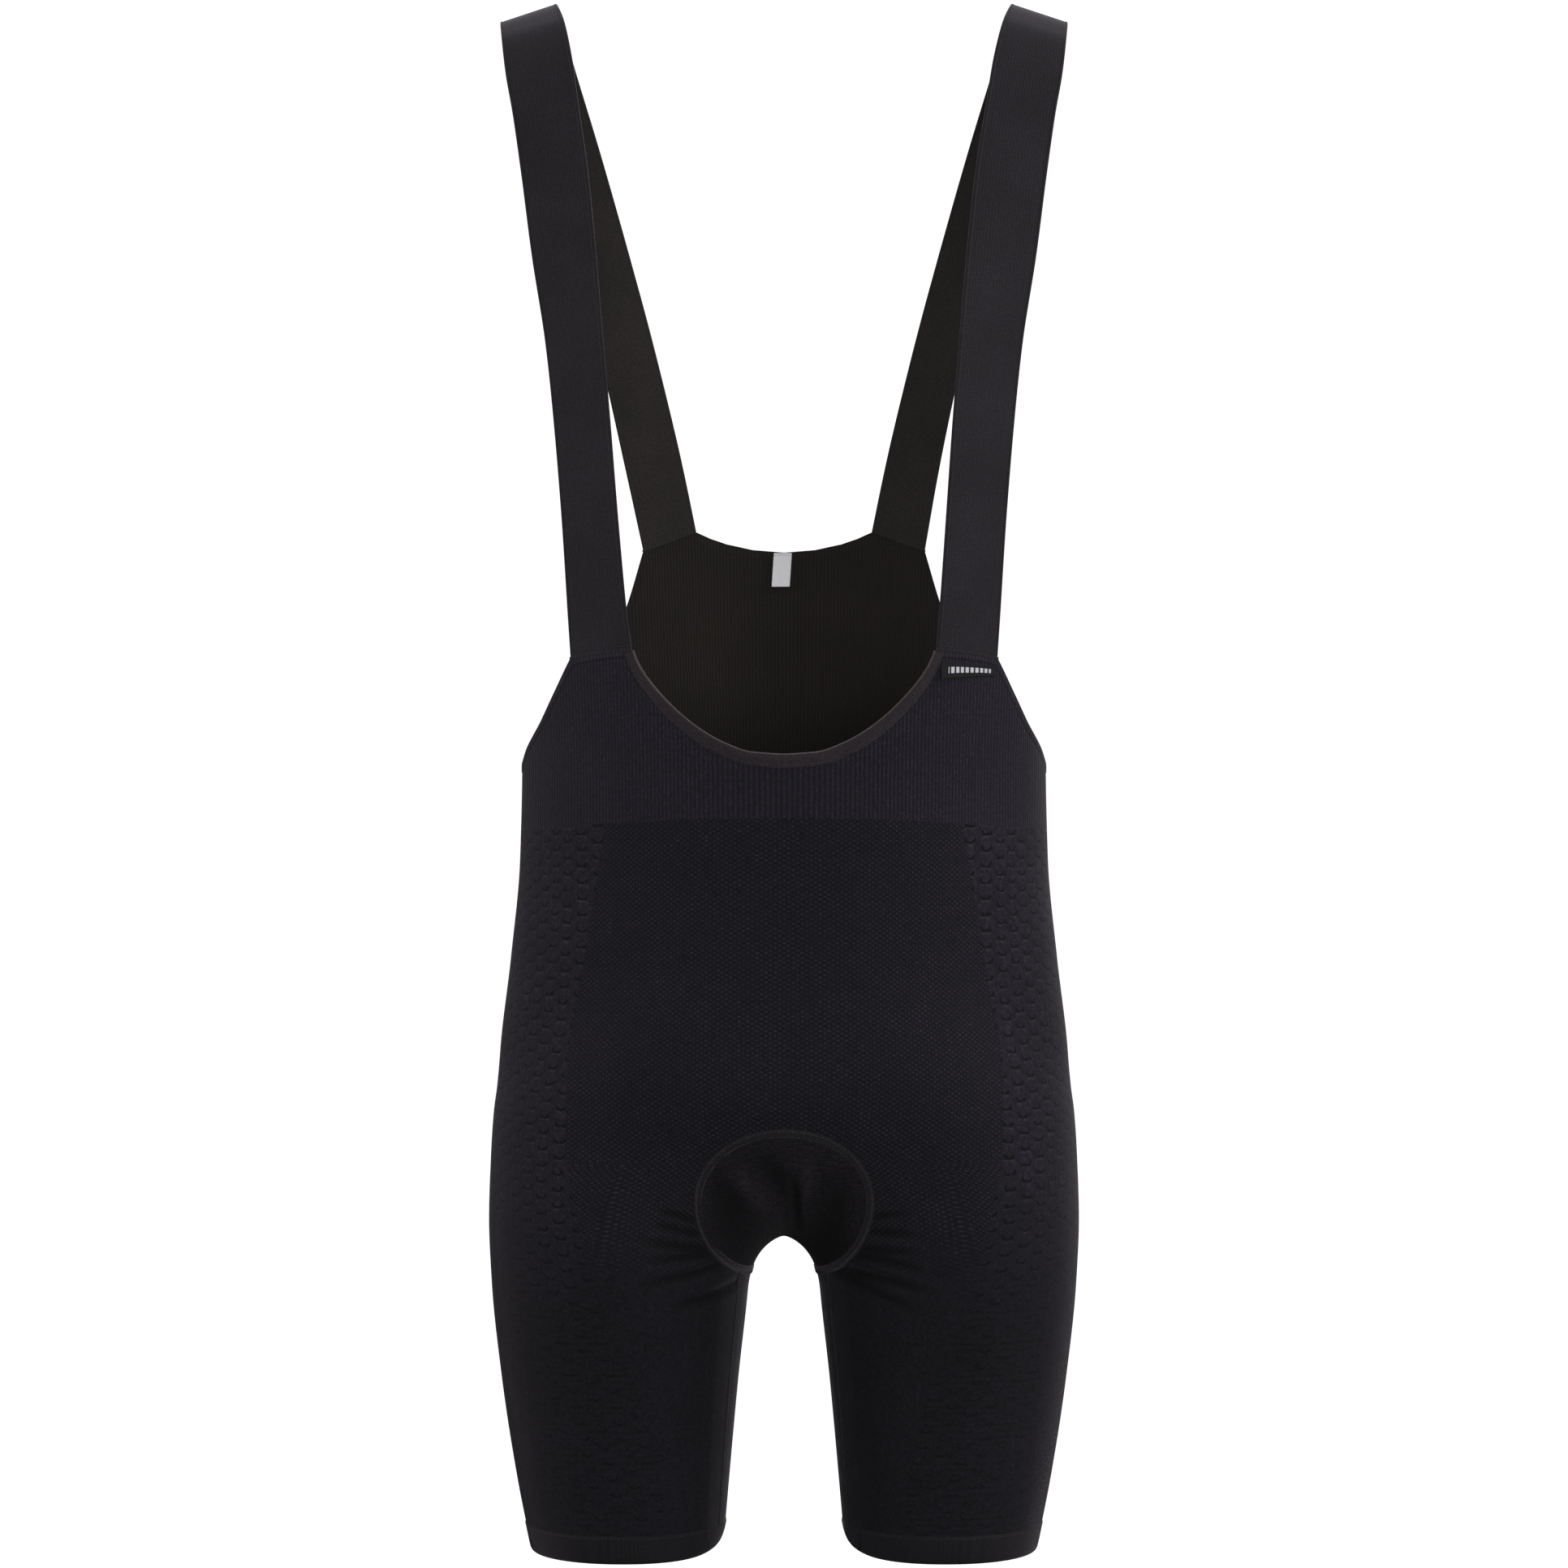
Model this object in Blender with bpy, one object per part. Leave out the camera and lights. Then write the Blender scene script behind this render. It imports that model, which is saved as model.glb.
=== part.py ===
"""Bib liner shorts: hollow knitted shorts with a scooped bib, two shoulder straps and a crotch pad.

Frame: +Z up, the front of the garment faces -Y and +X is on the viewer's right. The origin lies
midway between the two strap crests, where a wearer's shoulders hold the garment. Every panel is
a thin wall on one smooth figure, the blend of a torso and two legs. Units are metres.
"""

import math

import bmesh
import bpy
import numpy as np
from mathutils import Vector

# Walls and clearances
PANEL_WALL = 0.0012
STRAP_WALL = 0.0016
PAD_WALL = 0.0040
HEM_WALL = 0.0024
TRIM_WALL = 0.0010
SEAM_GAP = 0.0003

# Heights of the main levels
FORK_Z = -0.700
HEM_TOP_Z = -0.926
HEM_BOTTOM_Z = -0.943

# Torso sections: height, half width, front, back
TORSO = (
    (-0.28, 0.1660, -0.1080, 0.1080),
    (-0.38, 0.1650, -0.1070, 0.1030),
    (-0.46, 0.1617, -0.1050, 0.0990),
    (-0.52, 0.1630, -0.1040, 0.1000),
    (-0.58, 0.1686, -0.1040, 0.1090),
    (-0.64, 0.1754, -0.1050, 0.1240),
    (-0.70, 0.1780, -0.1040, 0.1330),
    (-0.76, 0.1780, -0.1000, 0.1330),
)
# Sections of the leg at +X: height, inner side, outer side, front, back
LEG = (
    (-0.60, 0.0120, 0.1640, -0.0900, 0.1150),
    (-0.66, 0.0160, 0.1778, -0.0930, 0.1220),
    (-0.70, 0.0180, 0.1810, -0.0930, 0.1230),
    (-0.74, 0.0192, 0.1822, -0.0910, 0.1170),
    (-0.78, 0.0218, 0.1803, -0.0870, 0.1040),
    (-0.84, 0.0282, 0.1737, -0.0800, 0.0900),
    (-0.90, 0.0337, 0.1642, -0.0750, 0.0800),
    (-0.95, 0.0380, 0.1540, -0.0720, 0.0740),
)
TORSO_ROUNDNESS = 2.35
LEG_ROUNDNESS = 2.15
CAP_ROUNDNESS = 2.2
TORSO_MIDDLE_Y = 0.012
TORSO_CAP = (-0.640, -0.7486)  # the torso's floor starts to round here and closes here
LEG_CAP = (-0.680, -0.560)  # each leg starts to merge into the torso here and closes here
BLEND_REACH = 0.004
CROTCH_BLEND = 0.034
CROTCH_BLEND_WIDTH = 0.120
CROTCH_BLEND_FALLOFF = 4
PROBE = 1.0e-4  # step of the central differences
RAY_REACH = 0.250  # rays are cast this far out of the torso
LEG_RAY_REACH = 0.200
HALVINGS = 34  # steps that find where a ray leaves the figure

# Upper edge of the knitted body, half way round: degrees from the centre front, height
EDGE = (
    (0.0, -0.4571),
    (9.7, -0.4556),
    (17.5, -0.4498),
    (24.0, -0.4416),
    (30.5, -0.4295),
    (35.0, -0.4183),
    (38.5, -0.4072),
    (40.2, -0.3994),
    (41.0, -0.3936),
    (46.5, -0.3946),
    (52.0, -0.3962),
    (57.0, -0.3983),
    (63.0, -0.4203),
    (69.0, -0.4380),
    (76.5, -0.4514),
    (82.0, -0.4592),
    (90.0, -0.4640),
    (102.0, -0.4565),
    (112.0, -0.4350),
    (121.0, -0.4020),
    (128.0, -0.3625),
    (133.0, -0.3259),
    (140.5, -0.3197),
    (148.4, -0.3132),
    (153.0, -0.3173),
    (158.5, -0.3208),
    (168.0, -0.3244),
    (180.0, -0.3260),
)
# Columns of the body: torso columns are the rows of EDGE, crotch columns follow them
FRONT_STRAP_COLUMNS = (8, 11)
SIDE_COLUMN = 16
BACK_STRAP_COLUMNS = (23, 21)
BACK_COLUMN = len(EDGE) - 1
RING_COLUMNS = 36
INSEAM_COLUMN = 34.5
SEAM_SHIFT = 0.018  # columns that half a seam gap takes
TORSO_ROWS = 11
LEG_ROWS = 8
# Directions round a leg at the hem, in degrees from the front towards the outer side
LEG_DIRECTIONS = ((0, -49), (SIDE_COLUMN, 90), (BACK_COLUMN, 221), (RING_COLUMNS, 311))

# The hem's lower edge is drawn up where the inner leg's seam ends in it
HEM_RISE = 0.006
HEM_RISE_COLUMN = 31.9
HEM_RISE_SPREAD = 4.0

# Outline of the crotch pad seen from the front and from the back
PAD_CENTRE_Z = -0.7235
PAD_DROP = 0.0525
PAD_ROUNDNESS = 2.05
# Stations of the pad's outline from front to back: depth, half width, rise
PAD_STATIONS = (
    (-0.160, 0.0520, 0.0420),
    (0.000, 0.0520, 0.0420),
    (0.060, 0.0600, 0.0745),
    (0.180, 0.0600, 0.0745),
)
PAD_OUTLINE_STEPS = 28
# The sheet that the pad is trimmed from reaches a little past its outline
PAD_SHEET_TOP_Z = -0.640
PAD_BACK_COLUMNS = range(-18, 0)
PAD_FRONT_COLUMNS = (0.0, 0.8, 1.6, 2.4, 3.3, 4.1, 4.9, 5.7, 6.5, 7.4, 8.2, 9.0)
PAD_ROWS = 8
PAD_LEG_SHARES = (0.06, 0.12, 0.18, 0.24, 0.30, 0.36, 0.42)
# Folds pressed into the front of the pad: start x, start z, end x, end z, half width, height
PAD_FOLDS = (
    (-0.030, -0.706, 0.000, -0.738, 0.008, 0.0030),
    (-0.038, -0.714, -0.026, -0.754, 0.006, -0.0035),
    (0.004, -0.712, 0.0080, -0.744, 0.004, -0.0030),
)

# Strap at +X from the front seam over the shoulder to the back seam.
# Inner edge x, y, z, then outer edge x, y, z; the two end rows come from the body's edge.
STRAP = (
    (0.0943, -0.0960, -0.3715, 0.1303, -0.0740, -0.3715),
    (0.0990, -0.1015, -0.3197, 0.1333, -0.0800, -0.3197),
    (0.1041, -0.1040, -0.2549, 0.1384, -0.0840, -0.2549),
    (0.1081, -0.1020, -0.2092, 0.1433, -0.0830, -0.2092),
    (0.1125, -0.0960, -0.1566, 0.1506, -0.0790, -0.1566),
    (0.1174, -0.0840, -0.1037, 0.1569, -0.0710, -0.1060),
    (0.1231, -0.0680, -0.0650, 0.1630, -0.0590, -0.0680),
    (0.1281, -0.0515, -0.0330, 0.1687, -0.0450, -0.0420),
    (0.1350, -0.0270, -0.0050, 0.1730, -0.0230, -0.0160),
    (0.1400, 0.0000, 0.0070, 0.1748, 0.0000, -0.0045),
    (0.1388, 0.0240, 0.0010, 0.1735, 0.0210, -0.0120),
    (0.1302, 0.0500, -0.0263, 0.1655, 0.0430, -0.0380),
    (0.1150, 0.0760, -0.0744, 0.1505, 0.0660, -0.0850),
    (0.0975, 0.0970, -0.1400, 0.1330, 0.0850, -0.1500),
    (0.0850, 0.1040, -0.1912, 0.1185, 0.0930, -0.2010),
    (0.0691, 0.1055, -0.2618, 0.1030, 0.0975, -0.2731),
)
STRAP_SEGMENTS = 34
STRAP_STRIPS = 3

# Trims
NECK_BINDING_DEPTH = 0.0070
NECK_BINDING_END = 7.9  # torso column
NECK_BINDING_STEPS = 16
LABEL_LEFT = -0.0065
LABEL_RIGHT = 0.0050
LABEL_TOP_Z = -0.3266
LABEL_HEIGHT = 0.0215
TAB_COLUMNS = (8.15, 8.85, 9.4, 10.2, 10.9)
TAB_STANDOFFS = (0.0016, 0.0016, 0.0003, 0.0003, 0.0003)
TAB_TOP_DROP = 0.0012
TAB_HEIGHT = 0.0105

# Colours (linear) and roughness
KNIT_BLACK = (0.0160, 0.0140, 0.0180, 1.0)
STRAP_BLACK = (0.0180, 0.0160, 0.0200, 1.0)
BINDING_BLACK = (0.0300, 0.0260, 0.0280, 1.0)
PAD_BLACK = (0.0080, 0.0075, 0.0095, 1.0)
LABEL_WHITE = (0.7500, 0.7600, 0.7800, 1.0)
TAB_BLACK = (0.0060, 0.0060, 0.0070, 1.0)
CLOTH_ROUGHNESS = 0.85
LABEL_ROUGHNESS = 0.60

# Mesh making
CREASE_ANGLE = math.radians(40)
WELD_DISTANCE = 2.0e-5
SHORTEST_EDGE = 1.0e-5


# ---------------------------------------------------------------- sections


class SmoothTable:
    """A table of sections, read between its rows as a smooth curve without overshoot."""

    def __init__(self, table):
        rows = np.array(sorted(table), dtype=float)
        self.knots = rows[:, 0]
        self.values = rows[:, 1:]
        self.spans = np.diff(self.knots)
        slopes = np.diff(self.values, axis=0) / self.spans[:, None]
        self.tangents = np.zeros_like(self.values)
        self.tangents[0] = slopes[0]
        self.tangents[-1] = slopes[-1]
        for i in range(1, len(self.knots) - 1):
            before = slopes[i - 1]
            after = slopes[i]
            same_sign = before * after > 0
            share_before = 2 * self.spans[i] + self.spans[i - 1]
            share_after = self.spans[i] + 2 * self.spans[i - 1]
            inverse_before = share_before / np.where(same_sign, before, 1.0)
            inverse_after = share_after / np.where(same_sign, after, 1.0)
            mean = (share_before + share_after) / np.where(same_sign, inverse_before + inverse_after, 1.0)
            self.tangents[i] = np.where(same_sign, mean, 0.0)

    def at(self, where):
        """The table's columns at these values of its first one."""
        where = np.clip(np.asarray(where, dtype=float), self.knots[0], self.knots[-1])
        row = np.clip(np.searchsorted(self.knots, where) - 1, 0, len(self.spans) - 1)
        span = self.spans[row][..., None]
        t = (where - self.knots[row])[..., None] / span
        return (
            self.values[row] * (1 + 2 * t) * (1 - t) ** 2
            + self.tangents[row] * span * t * (1 - t) ** 2
            + self.values[row + 1] * t * t * (3 - 2 * t)
            + self.tangents[row + 1] * span * t * t * (t - 1)
        )


TORSO_SECTIONS = SmoothTable(TORSO)
LEG_SECTIONS = SmoothTable(LEG)


def capped(section, height, cap):
    """Closes a section's level with a rounded cap between the two heights of cap."""
    start, end = cap
    depth = np.maximum(0.0, (height - start) / (end - start))
    return (section**CAP_ROUNDNESS + depth**CAP_ROUNDNESS) ** (1 / CAP_ROUNDNESS) - 1


def torso_level(x, y, z):
    """Level of the torso form: negative inside, 0 on the surface."""
    half_width, front, back = np.moveaxis(TORSO_SECTIONS.at(z), -1, 0)
    from_middle = y - TORSO_MIDDLE_Y
    half_depth = np.where(from_middle < 0, TORSO_MIDDLE_Y - front, back - TORSO_MIDDLE_Y)
    across = (np.abs(x) / half_width) ** TORSO_ROUNDNESS
    along = (np.abs(from_middle) / half_depth) ** TORSO_ROUNDNESS
    return capped((across + along) ** (1 / TORSO_ROUNDNESS), z, TORSO_CAP)


def leg_level(x, y, z):
    """Level of the nearer leg form: negative inside, 0 on the surface."""
    inner, outer, front, back = np.moveaxis(LEG_SECTIONS.at(z), -1, 0)
    across = np.abs(np.abs(x) - (inner + outer) / 2) / ((outer - inner) / 2)
    along = np.abs(y - (front + back) / 2) / ((back - front) / 2)
    section = (across**LEG_ROUNDNESS + along**LEG_ROUNDNESS) ** (1 / LEG_ROUNDNESS)
    return capped(section, z, LEG_CAP)


def slope(level, x, y, z):
    """Gradient of a level by central differences."""
    gx = level(x + PROBE, y, z) - level(x - PROBE, y, z)
    gy = level(x, y + PROBE, z) - level(x, y - PROBE, z)
    gz = level(x, y, z + PROBE) - level(x, y, z - PROBE)
    return np.stack([gx, gy, gz], -1) / (2 * PROBE)


def distance(level, x, y, z):
    """A level scaled to about metres from its surface."""
    return level(x, y, z) / np.maximum(np.linalg.norm(slope(level, x, y, z), axis=-1), 1e-6)


def figure(x, y, z):
    """Distance to the figure that the shorts are worn on: torso and legs, softly joined at the crotch."""
    torso = distance(torso_level, x, y, z)
    leg = distance(leg_level, x, y, z)
    reach = BLEND_REACH + CROTCH_BLEND * np.exp(-((x / CROTCH_BLEND_WIDTH) ** CROTCH_BLEND_FALLOFF))
    overlap = np.maximum(reach - np.abs(torso - leg), 0) / reach
    return np.minimum(torso, leg) - overlap * overlap * reach / 4


def outward(points):
    """Unit normals of the figure at these points."""
    normals = slope(figure, points[..., 0], points[..., 1], points[..., 2])
    return normals / np.linalg.norm(normals, axis=-1, keepdims=True)


def cast(start, end):
    """Where the segment from start, inside the figure, to end leaves it."""
    low = np.zeros(start.shape[:-1])
    high = np.ones(start.shape[:-1])
    for _ in range(HALVINGS):
        middle = (low + high) / 2
        point = start + (end - start) * middle[..., None]
        inside = figure(point[..., 0], point[..., 1], point[..., 2]) < 0
        low = np.where(inside, middle, low)
        high = np.where(inside, high, middle)
    return start + (end - start) * high[..., None]


# ---------------------------------------------------------------- the body's grid


def edge_height(column):
    """Height of the body's upper edge at a torso column."""
    return np.interp(column, range(len(EDGE)), [row[1] for row in EDGE])


def torso_point(column, z):
    """Point of the torso at +X on a column and at a height."""
    turn = np.radians(np.interp(column, range(len(EDGE)), [row[0] for row in EDGE]))
    start = np.stack([0 * turn, 0 * turn + TORSO_MIDDLE_Y, z + 0 * turn], -1)
    reach = np.stack([np.sin(turn), -np.cos(turn), 0 * turn], -1) * RAY_REACH
    point = cast(start, start + reach)
    middle = (turn <= 0) | (turn >= math.pi)
    point[..., 0] = np.where(middle, 0.0, point[..., 0])
    return point


def crotch_point(column):
    """Point of the crotch line, in the plane x = 0, on a crotch column."""
    share = (column - BACK_COLUMN) / (RING_COLUMNS - BACK_COLUMN)
    turn = np.pi * np.clip(share, 0, 1)
    start = np.stack([0 * turn, 0 * turn + TORSO_MIDDLE_Y, 0 * turn + FORK_Z], -1)
    reach = np.stack([0 * turn, np.cos(turn), -np.sin(turn)], -1) * RAY_REACH
    return cast(start, start + reach)


def leg_axis(z):
    """Middle of a leg's section at a height."""
    inner, outer, front, back = np.moveaxis(LEG_SECTIONS.at(z), -1, 0)
    return np.stack([(inner + outer) / 2, (front + back) / 2, z], -1)


def leg_point(column, share, bottom=HEM_TOP_Z + SEAM_GAP / 2):
    """Point of the leg at +X; share runs from 0 at the fork to 1 at the bottom height."""
    column = np.mod(column, RING_COLUMNS)
    on_torso = torso_point(np.minimum(column, BACK_COLUMN), FORK_Z + 0 * column)
    top = np.where((column > BACK_COLUMN)[..., None], crotch_point(column), on_torso)
    axis_top = leg_axis(top[..., 2])
    turn_top = np.arctan2(top[..., 0] - axis_top[..., 0], axis_top[..., 1] - top[..., 1])
    knots = [row[0] for row in LEG_DIRECTIONS]
    turn_bottom = np.radians(np.interp(column, knots, [row[1] for row in LEG_DIRECTIONS]))
    turn_top = turn_bottom + np.mod(turn_top - turn_bottom + np.pi, 2 * np.pi) - np.pi
    eased = np.sqrt(share)
    turn = turn_top * (1 - eased) + turn_bottom * eased
    z = top[..., 2] * (1 - share) + bottom * share
    start = leg_axis(z)
    direction = np.stack([np.sin(turn), -np.cos(turn), 0 * turn], -1)
    to_middle = start[..., 0] / np.maximum(-direction[..., 0], 1e-6)
    length = np.where(direction[..., 0] < 0, np.minimum(to_middle, LEG_RAY_REACH), LEG_RAY_REACH)
    end = start + direction * length[..., None]
    return np.where((share > 0)[..., None], cast(start, end), top)


def body_sheet(columns, rows, leg_shares, top=None):
    """Rows of points at +X, from the upper edge or from a level top down to the fork and the hem.

    Crotch columns start on the crotch line, so their torso rows above it are left out as NaN.
    """
    columns = np.asarray(columns, dtype=float)
    wrapped = np.mod(columns, RING_COLUMNS)
    on_torso = wrapped <= BACK_COLUMN
    start = edge_height(wrapped) if top is None else np.full(len(columns), top)
    sheet = []
    for row in rows:
        points = torso_point(np.minimum(wrapped, BACK_COLUMN), start * (1 - row) + FORK_Z * row)
        points[~on_torso] = crotch_point(wrapped[~on_torso]) if row == 1 else np.nan
        sheet.append(points)
    for share in leg_shares:
        sheet.append(leg_point(columns, np.full(len(columns), share)))
    return np.array(sheet)


def pad_folds(points):
    """Moves the front of the pad in or out where its folds run."""
    x, y, z = np.moveaxis(points, -1, 0)
    height = np.zeros_like(x)
    for start_x, start_z, end_x, end_z, half_width, rise in PAD_FOLDS:
        run = np.array([end_x - start_x, end_z - start_z])
        along = ((x - start_x) * run[0] + (z - start_z) * run[1]) / (run @ run)
        clamped = np.clip(along, 0, 1)
        off_line = np.hypot(x - start_x - clamped * run[0], z - start_z - clamped * run[1])
        height += rise * np.exp(-((off_line / half_width) ** 2))
    return np.where(y < 0, height, 0.0)


# ---------------------------------------------------------------- Blender objects


def clear_scene():
    """Removes whatever the scene holds."""
    for obj in list(bpy.data.objects):
        bpy.data.objects.remove(obj)


def make_material(name, colour, roughness):
    """A plain matt material."""
    material = bpy.data.materials.new(name)
    material.use_nodes = True
    shader = material.node_tree.nodes["Principled BSDF"]
    shader.inputs["Base Color"].default_value = colour
    shader.inputs["Roughness"].default_value = roughness
    shader.inputs["Metallic"].default_value = 0.0
    return material


def add_object(name, bm, material):
    """Puts a bmesh into the scene as a named object."""
    bmesh.ops.recalc_face_normals(bm, faces=bm.faces)
    mesh = bpy.data.meshes.new(name)
    bm.to_mesh(mesh)
    bm.free()
    mesh.shade_smooth()
    mesh.set_sharp_from_angle(angle=CREASE_ANGLE)
    mesh.materials.append(material)
    obj = bpy.data.objects.new(name, mesh)
    bpy.context.scene.collection.objects.link(obj)
    return obj


def add_quads(bm, sheet, mirrored):
    """Adds the faces between the rows and columns of a sheet of points, without those that touch a NaN."""
    side = np.array([-1.0 if mirrored else 1.0, 1.0, 1.0])
    made = {}
    for r, c in np.ndindex(sheet.shape[:2]):
        if not np.isnan(sheet[r, c, 0]):
            made[r, c] = bm.verts.new(Vector(sheet[r, c] * side))
    for r, c in np.ndindex(sheet.shape[0] - 1, sheet.shape[1] - 1):
        corners = [(r, c), (r + 1, c), (r + 1, c + 1), (r, c + 1)]
        loop = []
        for corner in corners:
            vert = made.get(corner)
            if vert is not None and all((vert.co - other.co).length > SHORTEST_EDGE for other in loop):
                loop.append(vert)
        if all(corner in made for corner in corners) and len(loop) > 2:
            bm.faces.new(loop if mirrored else loop[::-1])


def thicken(bm, outer, inner, relief=None):
    """Turns an open surface on the figure into a closed wall between two offsets from it."""
    bmesh.ops.remove_doubles(bm, verts=bm.verts, dist=WELD_DISTANCE)
    bmesh.ops.recalc_face_normals(bm, faces=bm.faces)
    bmesh.ops.triangulate(bm, faces=bm.faces)
    near = list(bm.verts)
    points = np.array([vert.co for vert in near])
    normals = outward(points)
    lift = relief(points) if relief else np.zeros(len(points))
    faces = list(bm.faces)
    rims = [edge.link_loops[0] for edge in bm.edges if edge.is_boundary]
    rim_pairs = [(loop.vert, loop.link_loop_next.vert) for loop in rims]
    far = {}
    for vert, point in zip(near, points + normals * (lift + inner)[:, None]):
        far[vert] = bm.verts.new(Vector(point))
    for vert, point in zip(near, points + normals * (lift + outer)[:, None]):
        vert.co = Vector(point)
    for face in faces:
        bm.faces.new([far[vert] for vert in reversed(face.verts)])
    for first, second in rim_pairs:
        bm.faces.new([second, first, far[first], far[second]])


def panel(name, columns, material):
    """One half of the knitted body, front or back: both sides and both legs, as a closed wall."""
    rows = np.linspace(0, 1, TORSO_ROWS + 1)
    leg_shares = (np.arange(LEG_ROWS) + 1) / LEG_ROWS
    sheet = body_sheet(columns, rows, leg_shares)
    bm = bmesh.new()
    for mirrored in (False, True):
        add_quads(bm, sheet, mirrored)
    thicken(bm, 0.0, -PANEL_WALL)
    return add_object(name, bm, material)


def pad_outline(half_width, rise, inset):
    """Outline of the pad in x and z: two half ovals, the upper one of another height."""
    turns = np.linspace(0, 2 * np.pi, PAD_OUTLINE_STEPS, endpoint=False)
    outline = []
    for turn in turns:
        power = 2 / PAD_ROUNDNESS
        reach = rise if math.sin(turn) >= 0 else PAD_DROP
        x = math.copysign(abs(math.cos(turn)) ** power, math.cos(turn)) * (half_width - inset)
        z = math.copysign(abs(math.sin(turn)) ** power, math.sin(turn)) * (reach - inset)
        outline.append((x, PAD_CENTRE_Z + z))
    return outline


def pad_prism(name, inset):
    """The space that the pad's outline sweeps from front to back, as a hidden guide for Booleans."""
    bm = bmesh.new()
    rings = []
    for depth, half_width, rise in PAD_STATIONS:
        outline = pad_outline(half_width, rise, inset)
        rings.append([bm.verts.new((x, depth, z)) for x, z in outline])
    for near, far in zip(rings, rings[1:]):
        for i in range(PAD_OUTLINE_STEPS):
            j = (i + 1) % PAD_OUTLINE_STEPS
            bm.faces.new((near[i], near[j], far[j], far[i]))
    bm.faces.new(rings[0][::-1])
    bm.faces.new(rings[-1])
    guide = add_object(name, bm, bpy.data.materials["pad cloth"])
    guide.hide_render = True
    guide.display_type = "WIRE"
    return guide


def cut_with(obj, guide, operation):
    """Adds an exact Boolean to an object."""
    boolean = obj.modifiers.new(guide.name, "BOOLEAN")
    boolean.operation = operation
    boolean.solver = "EXACT"
    boolean.object = guide


def crotch_pad(material, guide):
    """The moulded pad insert: a thicker wall under the crotch, trimmed to its outline."""
    columns = [*PAD_BACK_COLUMNS, *PAD_FRONT_COLUMNS]
    rows = np.linspace(0, 1, PAD_ROWS + 1)
    sheet = body_sheet(columns, rows, PAD_LEG_SHARES, top=PAD_SHEET_TOP_Z)
    bm = bmesh.new()
    for mirrored in (False, True):
        add_quads(bm, sheet, mirrored)
    thicken(bm, 0.0, -PAD_WALL, relief=pad_folds)
    pad = add_object("crotch_pad", bm, material)
    cut_with(pad, guide, "INTERSECT")
    return pad


def ribbon_wall(name, face, back, material):
    """A closed wall between two sheets of points of the same size, its face and its back."""
    bm = bmesh.new()
    grids = []
    for sheet in (face, back):
        grids.append([[bm.verts.new(Vector(point)) for point in row] for row in sheet])
    last_row = len(face) - 1
    last_column = len(face[0]) - 1
    for r in range(last_row):
        for c in range(last_column):
            for grid in grids:
                bm.faces.new((grid[r][c], grid[r + 1][c], grid[r + 1][c + 1], grid[r][c + 1]))
    front, rear = grids
    for r in range(last_row):
        for c in (0, last_column):
            bm.faces.new((front[r][c], front[r + 1][c], rear[r + 1][c], rear[r][c]))
    for c in range(last_column):
        for r in (0, last_row):
            bm.faces.new((front[r][c], front[r][c + 1], rear[r][c + 1], rear[r][c]))
    return add_object(name, bm, material)


def strap_end(columns):
    """Points across a strap's end, a seam gap above the body's upper edge."""
    across = np.linspace(columns[0], columns[1], STRAP_STRIPS + 1)
    return torso_point(across, edge_height(across) + SEAM_GAP)


def strap_sheet():
    """Outer face of the strap at +X, as rows across it from the front seam to the back seam."""
    front = strap_end(FRONT_STRAP_COLUMNS)
    back = strap_end(BACK_STRAP_COLUMNS)
    rows = [tuple(front[0]) + tuple(front[-1]), *STRAP, tuple(back[0]) + tuple(back[-1])]
    edges = SmoothTable([(i, *row) for i, row in enumerate(rows)])
    edges = edges.at(np.linspace(0, len(rows) - 1, STRAP_SEGMENTS + 1))
    across = np.linspace(0, 1, STRAP_STRIPS + 1)[None, :, None]
    sheet = edges[:, None, :3] * (1 - across) + edges[:, None, 3:] * across
    sheet[0] = front
    sheet[-1] = back
    return sheet


def sheet_normals(sheet, outside):
    """Unit normals of a sheet of points, on the side that the direction outside gives for its first row."""
    along = np.gradient(sheet, axis=0)
    across = np.gradient(sheet, axis=1)
    normals = np.cross(along, across)
    normals /= np.linalg.norm(normals, axis=-1, keepdims=True)
    return normals if normals[0, 0] @ outside > 0 else -normals


def strap(name, side, material):
    """One shoulder strap, an elastic band from the front bib over the shoulder to the back bib."""
    face = strap_sheet()
    normals = sheet_normals(face, np.array([0.0, -1.0, 0.0]))
    back = face - normals * STRAP_WALL
    mirror = np.array([side, 1.0, 1.0])
    return ribbon_wall(name, face * mirror, back * mirror, material)


def hem_rise(columns):
    """How far the hem's lower edge is drawn up at each column of the ring."""
    half_ring = RING_COLUMNS / 2
    away = np.mod(columns - HEM_RISE_COLUMN + half_ring, RING_COLUMNS) - half_ring
    return HEM_RISE * np.exp(-((away / HEM_RISE_SPREAD) ** 2))


def leg_hem(name, side, material):
    """The turned welt round a leg opening, one closed ring."""
    columns = np.arange(RING_COLUMNS, dtype=float)
    share = np.ones(RING_COLUMNS)
    mirror = np.array([side, 1.0, 1.0])
    top = HEM_TOP_Z - SEAM_GAP / 2
    bottom = HEM_BOTTOM_Z + hem_rise(columns)
    bm = bmesh.new()
    rings = []
    for z, depth in ((top, 0.0), (bottom, 0.0), (bottom, HEM_WALL), (top, HEM_WALL)):
        points = leg_point(columns, share, bottom=z)
        normals = outward(points)
        normals[:, 2] = 0.0
        rings.append([bm.verts.new(Vector(p)) for p in (points - normals * depth) * mirror])
    for ring, following in zip(rings, rings[1:] + rings[:1]):
        for i in range(RING_COLUMNS):
            j = (i + 1) % RING_COLUMNS
            bm.faces.new((ring[i], ring[j], following[j], following[i]))
    return add_object(name, bm, material)


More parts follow.
